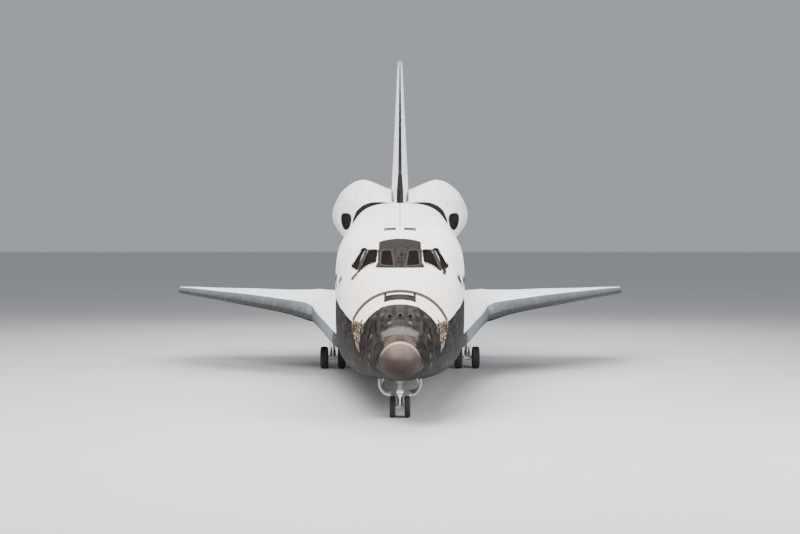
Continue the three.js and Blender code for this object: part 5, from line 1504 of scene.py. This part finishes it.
for nm, y0, y1 in (("inboard", EL_IN, SPLIT - 1.5), ("outboard", SPLIT + 1.5, EL_OUT)):
    r0, r1 = half_at(y0), half_at(y1)
    ya, yb = y0 - (30 if nm == "inboard" else 1.5), y1 + (1.5 if nm == "inboard" else 0.8)
    c, more = Build(), 0.0
    for k in np.linspace(0, 1, 31):
        y = lerp(y0, y1, k)
        more = max(more, half_at(y) + abs(mid_at(y) - lerp(mid_at(y0), mid_at(y1), k)) - lerp(r0, r1, k))
    rr = [(y, lerp(r0, r1, (y - y0) / (y1 - y0)) + more + 0.9, lerp(mid_at(y0), mid_at(y1), (y - y0) / (y1 - y0))) for y in (ya, yb)]
    t = np.linspace(0, 2 * np.pi, 40, endpoint=False)
    c.grid([[(ELX + r * math.cos(q), y, zc + r * math.sin(q)) for q in t] for y, r, zc in rr], 1, wrap=True, cap0=True, cap1=True)
    cuts.append(c)
main_well = Build().box(1048, 1196, 109.5, 166, 230, 308, 2)
cuts.append(main_well)
wing_arrays = carve(wing, cuts, 3)
whole = Build().join(*wing_arrays)
whole.join(*end.arrays()).join(*root_.arrays())
well_x0, well_x1 = 1048, 1196
rccb = Build()
ys_r = np.concatenate([np.arange(113, 163, 1.6), np.arange(163, 176, 1.3), np.arange(177, 468, 4.2), [468.3]])
f2 = np.linspace(0, 1, 16) ** 2
rows = []
for y in ys_r:
    xs = lerp(float(le_x(y)), float(rcc_x(y)), f2)
    t_, b2 = wing_z(xs, y)
    rows.append(np.concatenate([np.stack([xs, np.full_like(xs, y), t_], -1)[::-1], np.stack([xs, np.full_like(xs, y), b2], -1)]))
rows = np.array(rows)
run = np.concatenate([[0], np.cumsum(np.hypot(np.diff(ys_r), np.diff([float(le_x(y)) for y in ys_r])))])
tcr = np.stack([np.broadcast_to(run[:, None], rows.shape[:2]) + (rows[..., 0] - rows[:, 15:16, 0]) * 0.3, rows[..., 2], rows[..., 0] - rows[:, 15:16, 0]], -1)
rccb.grid(rows, 0, wrap=True, cap0=True, cap1=True, tc=tcr)


def rcc_low(p):
    return low_of(p) - 0.32 * w_th(np.abs(p[:, 1])) * foil(np.clip((p[:, 0] - le_x(np.abs(p[:, 1]))) / (te_x(np.abs(p[:, 1])) - le_x(np.abs(p[:, 1]))), 0, 1))


def lead_of(p):
    y = np.abs(p[:, 1])
    return np.where(y < 113.5, 7.6 * math.hypot(1, GS) - (p[:, 0] - le_x(y)), -50) / 4


for side, s in (("port", 1), ("starboard", -1)):
    piece(f"wing_skin_{side}", whole, "airframe", ["wing", "tile", "well"], [f"wing_{side}"], mirror=s < 0, attrs={"low": low_of, "lead": lead_of}, angle=30)
    piece(f"leading_edge_panels_{side}", rccb, "airframe", ["carbon"], [f"leading_edge_{side}"], mirror=s < 0, attrs={"low": rcc_low}, angle=40)
    for nm, y0, y1 in (("inboard", EL_IN, SPLIT - 1.5), ("outboard", SPLIT + 1.5, EL_OUT)):
        b = Build()
        rows = []
        for y in np.linspace(y0, y1, 16):
            k = (y - y0) / (y1 - y0)
            r, zc = lerp(half_at(y0), half_at(y1), k) - 0.3, lerp(mid_at(y0), mid_at(y1), k)
            te = float(te_x(y))
            tu, tl = wing_z(te, y)
            tu, tl = float(tu), float(tl)
            top_ = [(lerp(te, ELX, q), lerp(tu, zc + r, q)) for q in np.linspace(0, 0.96, 9)]
            nose_ = [(ELX + r * math.cos(a), zc + r * math.sin(a)) for a in np.radians(np.linspace(90, 270, 19))]
            bot = [(lerp(ELX, te, q), lerp(zc - r, tl, q)) for q in np.linspace(0.04, 1, 9)]
            rows.append([(x, y, z) for x, z in top_ + nose_ + bot])
        b.grid(rows, 0, wrap=True, cap0=True, cap1=True)

        def elow(p, y0=y0, y1=y1):
            k = (np.abs(p[:, 1]) - y0) / (y1 - y0)
            zc = lerp(mid_at(y0), mid_at(y1), k)
            te = te_x(np.abs(p[:, 1]))
            a, c = wing_z(te, np.abs(p[:, 1]))
            f = np.clip((p[:, 0] - ELX) / (te - ELX), 0, 1)
            return lerp(zc, (a + c) / 2, f) - p[:, 2]

        piece(f"{nm}_elevon_skin_{side}", b, f"{nm}_elevon_{side}", ["wing"], [f"{nm}_elevon_{side}"], mirror=s < 0, attrs={"low": elow, "lead": lambda p: np.full(len(p), -9.0)}, angle=30)

# ---------------------------------------------------------------- body flap
b = Build()
rows = []
for y in np.concatenate([[-112, -111.4], np.linspace(-108, 108, 20), [111.4, 112]]):
    k = 0.93 if abs(y) > 111.9 else 1.0
    nose_ = [(1532 + 8.5 * k * math.cos(a), 285 + 8.5 * k * math.sin(a)) for a in np.radians(np.linspace(90, 270, 19))]
    top_ = [(lerp(1613, 1532, q), lerp(286.6, 285 + 8.5 * k, q)) for q in np.linspace(0, 0.95, 10)]
    bot = [(lerp(1532, 1613, q), lerp(285 - 8.5 * k, 283.4, q)) for q in np.linspace(0.05, 1, 10)]
    rows.append([(x, y, z) for x, z in top_ + nose_ + bot])
b.grid(rows, 0, wrap=True, cap0=True, cap1=True)
piece("body_flap_skin", b, "body_flap", ["tile"], ["body_flap"], angle=30)

# ---------------------------------------------------------------- landing gear
UPX, UPZ = 0.07 / math.hypot(1, 0.07), 1 / math.hypot(1, 0.07)


def ground_z(x):
    return 174 + 0.07 * (1172.3 - x)


def axle_at(x, r):
    return x + UPX * r, ground_z(x) + UPZ * r


def tyre_build(x, y, z, r, w, hub, grooves):
    b = Build()
    h, r = w / 2, r - 0.045
    prof = [[-h * 0.62, hub], [-h * 0.86, hub + 0.25], [-h * 0.97, hub + (r - hub) * 0.28], [-h, hub + (r - hub) * 0.52], [-h * 0.97, hub + (r - hub) * 0.74],
            [-h * 0.86, hub + (r - hub) * 0.89], [-h * 0.7, r * 0.985]]
    flat_, top = [], []
    for g in grooves:
        top += [[g * h - 0.28, r], [g * h - 0.18, r - 0.45], [g * h + 0.18, r - 0.45], [g * h + 0.28, r]]
    prof += [[-h * 0.56, r]] + top + [[h * 0.56, r]] + [[-a, c] for a, c in prof[::-1]]
    b.lathe(prof, (x, y, z), (0, 1, 0), 72, 0, closed=True)
    return b


def wheel_set(x, z, yc, off, w, hub, bar, holes, bearings):
    """Axle with its two rims."""
    b = Build()
    b.rod((x, yc - off - w / 2 + 0.6, z), (x, yc + off + w / 2 - 0.6, z), bar, seg=24, mat=1)
    for s in (-1, 1):
        c, h = yc + s * off, w / 2
        for f in (-1, 1):
            face = [[f * (h - 1.3), hub - 0.3], [f * (h - 1.0), hub - 0.15], [f * (h - 1.2), hub - 1.0], [f * (h - 2.6), hub - 1.5], [f * (h - 3.2), hub * 0.62], [f * (h - 2.6), hub * 0.42],
                    [f * (h - 1.4), hub * 0.36], [f * (h - 1.4), bar]]
            b.lathe(face, (x, c, z), (0, 1, 0), 48, 0)
        b.lathe([[-h + 1.4, hub - 0.3], [h - 1.4, hub - 0.3]], (x, c, z), (0, 1, 0), 48, 0)
        o = s * (h - 1.3)
        for k in range(holes):
            a = 2 * math.pi * k / holes
            q = (x + hub * 0.78 * math.cos(a), c + s * (h - 3.1), z + hub * 0.78 * math.sin(a))
            b.lathe([[-0.2, 0.01], [-0.1, hub * 0.1], [0.25, hub * 0.115], [0.3, hub * 0.135], [-0.2, hub * 0.15]], q, (0, s, 0), 14, 2)
            q2 = (x + hub * 0.5 * math.cos(a + 0.3), c + s * (h - 2.7), z + hub * 0.5 * math.sin(a + 0.3))
            b.rod(q2, (q2[0], q2[1] + s * 0.6, q2[2]), hub * 0.05, seg=6, mat=1)
        b.lathe([[0, bar + 1.1], [1.0, bar + 1.0], [1.5, bar * 0.6], [1.5, 0.01]], (x, c + s * (h - 1.9), z), (0, s, 0), 24, 1)
    return b


G_X, G_Y = 1172.3, 136.0
mx, mz = axle_at(G_X, 22.2)
for side, s in (("port", 1), ("starboard", -1)):
    wheels = f"main_wheels_{side}"
    for nm, off in (("outer", 17.5), ("inner", -17.5)):
        b = tyre_build(mx, G_Y + off, mz, 22.2, 15.4, 10.5, (-0.38, -0.13, 0.13, 0.38))
        piece(f"{nm}_tyre_rubber_{side}", b, wheels, ["rubber"], [f"{nm}_tyre_{side}"], mirror=s < 0, angle=35)
    piece(f"main_wheels_metal_{side}", wheel_set(mx, mz, G_Y, 17.5, 15.4, 10.5, 3.0, 9, 1), wheels, ["wheel", "chrome", "steel"], [f"main_axle_{side}"], mirror=s < 0, angle=35)
    b = Build()
    top_z = 307.6
    b.lathe([[0, 4.2], [2, 5.2], [12, 5.2], [12.2, 4.3], [46, 4.3]], (G_X, G_Y, mz + 2), (0, 0, 1), 32, 1)
    L = top_z - (mz + 46)
    b.lathe([[0, 4.3], [0, 6.4], [3.5, 6.6], [4, 6.9], [6, 6.9], [6.4, 6.5], [L * 0.55, 6.7], [L * 0.55 + 0.4, 7.3], [L * 0.55 + 3, 7.3], [L * 0.55 + 3.4, 6.8], [L - 5, 7.1], [L - 4, 7.6], [L, 7.6], [L, 0.01]],
            (G_X, G_Y, mz + 46), (0, 0, 1), 32, 0)
    b.lathe([[-6.3, 3.35], [-6.3, 5.4], [-5.6, 5.8], [5.6, 5.8], [6.3, 5.4], [6.3, 3.35]], (mx, G_Y, mz), (0, 1, 0), 28, 0)
    b.rod((G_X - 2, G_Y, mz + 40), (G_X - 48, G_Y - 1, lerp(mz + 40, top_z - 3, 0.5)), 2.4, 2.5, 16, 0)
    b.rod((G_X - 46, G_Y - 1, lerp(mz + 40, top_z - 3, 0.49)), (G_X - 92, G_Y - 2, top_z - 3), 2.9, 3.0, 16, 0)
    b.lathe([[-3.4, 0.01], [-3.4, 3.2], [3.4, 3.2], [3.4, 0.01]], (G_X - 47, G_Y - 1, lerp(mz + 40, top_z - 3, 0.495)), (0, 1, 0), 20, 2)
    b.rod((G_X, G_Y - 4, mz + 72), (G_X, 113.2, top_z - 4), 2.4, 2.4, 14, 0)
    b.rod((G_X, G_Y + 4, mz + 72), (G_X, 161.3, top_z - 4), 2.4, 2.4, 14, 0)
    # torque links behind the strut
    for a, c, m_ in (((G_X + 5.5, mz + 8), (G_X + 17, mz + 27), 0), ((G_X + 17, mz + 27), (G_X + 7, mz + 47), 0)):
        for dy in (-3.2, 3.2):
            b.rod((a[0], G_Y + dy * (1 if a[1] < mz + 20 else 0.6), a[1]), (c[0], G_Y + dy * (0.6 if a[1] < mz + 20 else 1), c[1]), 1.1, 1.1, 10, 0)
    b.rod((G_X + 17, G_Y - 4, mz + 27), (G_X + 17, G_Y + 4, mz + 27), 1.5, seg=12, mat=2)
    b.rod((G_X + 6.5, G_Y - 5, mz + 47), (G_X + 6.5, G_Y + 5, mz + 47), 1.5, seg=12, mat=2)
    # brake lines
    for dy, ph in ((-5.8, 0), (5.8, 1)):
        b.tube(curve([(G_X - 3, G_Y + dy, mz + 6), (G_X - 8, G_Y + dy, mz + 20), (G_X - 7.5, G_Y + dy * 0.9, mz + 40), (G_X - 7.4, G_Y + dy * 0.7, mz + 62), (G_X - 7.4, G_Y + dy * 0.6, mz + 84)], 30), 0.45, 8, 3)
    piece(f"main_strut_{side}", b, "airframe", ["paint", "chrome", "steel", "hose"], [f"main_leg_{side}"], mirror=s < 0, angle=35)
    b = Build()
    out = [(1051, 266.5), (1193, 266.5), (1193, 216), (1182, 211), (1072, 211), (1051, 226)]
    b.prism(out, "y", 106.4, 107.6, 0)
    b.prism([(1053, 265.5), (1191, 265.5), (1191, 217), (1181, 212.5), (1073, 212.5), (1053, 227.5)], "y", 107.6, 108.1, 1)
    for x in (1066, 1096, 1126, 1156, 1182):
        b.box(x - 1.2, x + 1.2, 108.1, 108.7, 216, 264.5, 1)
    for z in (228, 250):
        b.box(1056, 1190, 108.1, 108.6, z - 1, z + 1, 1)
    for x in (1070, 1122, 1174):
        b.box(x - 2, x + 2, 106.6, 108.6, 263, 269.5, 2)
    piece(f"main_door_{side}", b, "airframe", ["tile", "door_in_painted_warm_light", "wheel"], [f"main_gear_door_{side}"], mirror=s < 0, angle=30)

NX = 377.5
nx, nz = axle_at(NX, 15.9)
for side, s in (("port", 1), ("starboard", -1)):
    b = tyre_build(nx, 11.0, nz, 15.9, 8.6, 7.6, (-0.34, 0.0, 0.34))
    piece(f"nose_tyre_rubber_{side}", b, "nose_wheels", ["rubber"], [f"nose_tyre_{side}"], mirror=s < 0, angle=35)
piece("nose_wheels_metal", wheel_set(nx, nz, 0.0, 11.0, 8.6, 7.6, 2.0, 8, 1), "nose_wheels", ["wheel", "chrome", "steel"], ["nose_axle"], angle=35)
b = Build()
b.lathe([[0, 2.6], [1, 3.4], [14, 3.5], [19, 3.5], [20.5, 5], [24, 5], [24, 0.01]], (NX, 0, nz), (0, 0, 1), 28, 1)
b.lathe([[-4.1, 2.4], [-4.1, 3.7], [-3.6, 4], [3.6, 4], [4.1, 3.7], [4.1, 2.4]], (nx, 0, nz), (0, 1, 0), 24, 0)
for dy in (-2.0, 2.0):
    b.rod((NX + 3.2, dy, nz + 5), (NX + 9.5, dy * 0.6, nz + 13.5), 0.7, seg=10, mat=0)
    b.rod((NX + 9.5, dy * 0.6, nz + 13.5), (NX + 4.2, dy, nz + 21.5), 0.7, seg=10, mat=0)
b.rod((NX + 9.5, -2.6, nz + 13.5), (NX + 9.5, 2.6, nz + 13.5), 0.9, seg=10, mat=2)
piece("nose_steered_strut", b, "steered_strut", ["paint", "chrome", "steel"], ["nose_fork"], angle=35)
b = Build()
split, top_z = nz + 24, 333.6
L = top_z - split - 0.3
b.lathe([[0, 3.0], [0, 4.6], [1.2, 4.9], [3, 4.9], [3.4, 4.4], [L * 0.5, 4.5], [L * 0.5, 5.2], [L * 0.5 + 2.4, 5.2], [L * 0.5 + 2.4, 4.7], [L - 3, 4.8], [L - 3, 5.2], [L, 5.2], [L, 0.01]], (NX, 0, split + 0.3), (0, 0, 1), 28, 0)
b.rod((NX - 1, 0, split + 14), (NX - 44, 0, top_z - 4), 1.9, 2.2, 14, 0)
for s in (1, -1):
    b.rod((NX, s * 3, split + 12), (NX, s * 24, top_z - 14), 1.7, 1.7, 12, 0)
    b.rod((NX - 2, s * 3.5, split + 10), (NX - 40, s * 14, top_z - 5), 1.2, 1.2, 10, 0)
    b.lathe([[-1.6, 0.01], [-1.6, 2.2], [1.6, 2.2], [1.6, 0.01]], (NX, s * 5.2, split + 13), (1, 0, 0), 16, 2)
    b.tube(curve([(NX - 4.6, s * 2.6, split + 2), (NX - 6, s * 3, split + 14), (NX - 5.6, s * 3.2, split + 30), (NX - 5, s * 4, top_z - 6)], 24), 0.4, 8, 3)
b.lathe([[-2.4, 2.6], [-2.4, 3.4], [2.4, 3.4], [2.4, 2.6]], (NX, 0, split + 5), (1, 0, 0), 16, 2)
for s in (1, -1):                         # linkages from the well to the doors
    for x in (334.0, 356.0):
        knee = (x, s * 29.4, float(LOW(x)) - 9)
        b.rod((x - 9, s * 15, float(LOW(x)) + 24), knee, 0.75, seg=10, mat=0)
        b.rod((x + 9, s * 15, float(LOW(x)) + 24), knee, 0.75, seg=10, mat=0)
        b.lathe([[-0.9, 0.01], [-0.9, 1.3], [0.9, 1.3], [0.9, 0.01]], knee, (1, 0, 0), 12, 2)
piece("nose_strut", b, "airframe", ["paint", "chrome", "steel", "hose"], ["nose_leg"], angle=35)

DOOR = [(31.2, 1.2), (30.8, 5.8), (29.2, 10.8), (26.6, 15.4), (23.2, 19.1), (18.6, 21.2), (13, 21.7)]
dd = np.array(DOOR)
arc_s = np.concatenate([[0], np.cumsum(np.hypot(*np.diff(dd, axis=0).T))])
dy_, dz_ = pchip(arc_s, dd[:, 0]), pchip(arc_s, dd[:, 1])
for side, s in (("port", 1), ("starboard", -1)):
    b = Build()
    q = np.linspace(0, arc_s[-1], 26)
    outy, outz = dy_(q), dz_(q)
    ty_, tz_ = np.gradient(outy), np.gradient(outz)
    ln = np.hypot(ty_, tz_)
    ny, nz_ = -tz_ / ln, -(-ty_) / ln      # pointing inwards
    rows_o, rows_i = [], []
    for x in np.linspace(309, 385, 20):
        lowz = float(LOW(x))
        k = lerp(1, 0.7, (x - WELL_X0) / (WELL_X1 - WELL_X0))
        rows_o.append([(x, a, lowz - k * c) for a, c in zip(outy, outz)])
        rows_i.append([(x, a - 1.0 * tz2 / l2, lowz - k * (c - 0) + 1.0 * k * abs(t2) / l2) for a, c, t2, tz2, l2 in zip(outy, outz, ty_, tz_, ln)])
    ro, ri = np.array(rows_o), np.array(rows_i)
    b.grid(ro, 0)
    # inner face: pale paint with painted warm lamp light
    b.grid(ri, 1)
    for row_a, row_b in ((ro[0], ri[0]), (ro[-1], ri[-1]), (ro[:, 0], ri[:, 0]), (ro[:, -1], ri[:, -1])):
        b.grid([row_a, row_b], 0)
    # ribs inside
    for i in (2, 7, 12, 17):
        r0, r1 = ri[i], ri[i].copy()
        n_in = np.stack([np.zeros(26), -tz_ / ln, np.abs(ty_) / ln], -1)
        w1 = r0 + n_in * 1.3
        e = np.array([0.9, 0, 0])
        b.grid([r0 - e, w1 - e, w1 + e, r0 + e], 1)
    for x in (322, 344, 366):
        b.box(x - 1.5, x + 1.5, 28.5, 31, float(LOW(x)) - 3, float(LOW(x)) + 3, 2)
    piece(f"nose_door_{side}", b, "airframe", ["doors", "door_in_painted_warm_light", "wheel"], [f"nose_gear_door_{side}"], mirror=s < 0, tc_of=lambda p: p * 1.0, angle=35)

# ---------------------------------------------------------------- materials of the frame's own objects
KEPT = {"rudder_shaft": "steel", "flight_deck": "grey", "instrument_panel": "trim", "commander_chair": "fabric", "pilot_chair": "fabric"}
for name, key in KEPT.items():
    o = bpy.data.objects.get(name)
    if o is not None:
        if not o.material_slots:
            o.data.materials.append(M[key])
        for slot_ in o.material_slots:
            slot_.material = M[key]

# ---------------------------------------------------------------- floor, light, camera
me = bpy.data.meshes.new("floor")
me.from_pydata([(-400, -200, 0), (400, -200, 0), (400, 600, 0), (-400, 600, 0)], [], [(0, 1, 2, 3)])
floor = bpy.data.objects.new("floor", me)
bpy.context.scene.collection.objects.link(floor)
g = Mat("floor_plain", 0.6)
n = g.noise(g.obj(), 0.15, 3.0)
g.set("Base Color", g.mix(n, (0.56, 0.56, 0.56), (0.60, 0.60, 0.60)))
me.materials.append(g.m)

world = bpy.data.worlds.new("studio")
world.use_nodes = True
bpy.context.scene.world = world
nt = world.node_tree
bg = nt.nodes["Background"]
bg.inputs["Color"].default_value = (0.66, 0.69, 0.75, 1)
bg.inputs["Strength"].default_value = 0.56


def area(name, loc, aim, size, power, colour=(1, 1, 1)):
    d = bpy.data.lights.new(name, "AREA")
    d.shape, d.size, d.size_y, d.energy, d.color = "RECTANGLE", size[0], size[1], power, colour
    o = bpy.data.objects.new(name, d)
    o.location = loc
    o.rotation_euler = (Vector(aim) - Vector(loc)).to_track_quat("-Z", "Y").to_euler()
    bpy.context.scene.collection.objects.link(o)
    return o


area("key", (-14, -34, 34), (0, -6, 4), (26, 20), 36000, (1.0, 0.975, 0.945))
area("fill", (24, -30, 18), (0, -8, 4), (20, 16), 15000, (0.94, 0.97, 1.0))
area("over", (0, 6, 34), (0, 4, 4), (34, 30), 19000, (0.94, 0.97, 1.0))
area("back", (0, 40, 26), (0, 10, 8), (36, 14), 7000, (0.93, 0.96, 1.0))

cam = bpy.data.cameras.new("camera")
cam.sensor_width, cam.lens = 36, 64.53
cam.clip_end = 2000
co = bpy.data.objects.new("camera", cam)
co.location = (0, -67.993, 6.73)
co.rotation_euler = (math.radians(88.83), 0, 0)
bpy.context.scene.collection.objects.link(co)
bpy.context.scene.camera = co
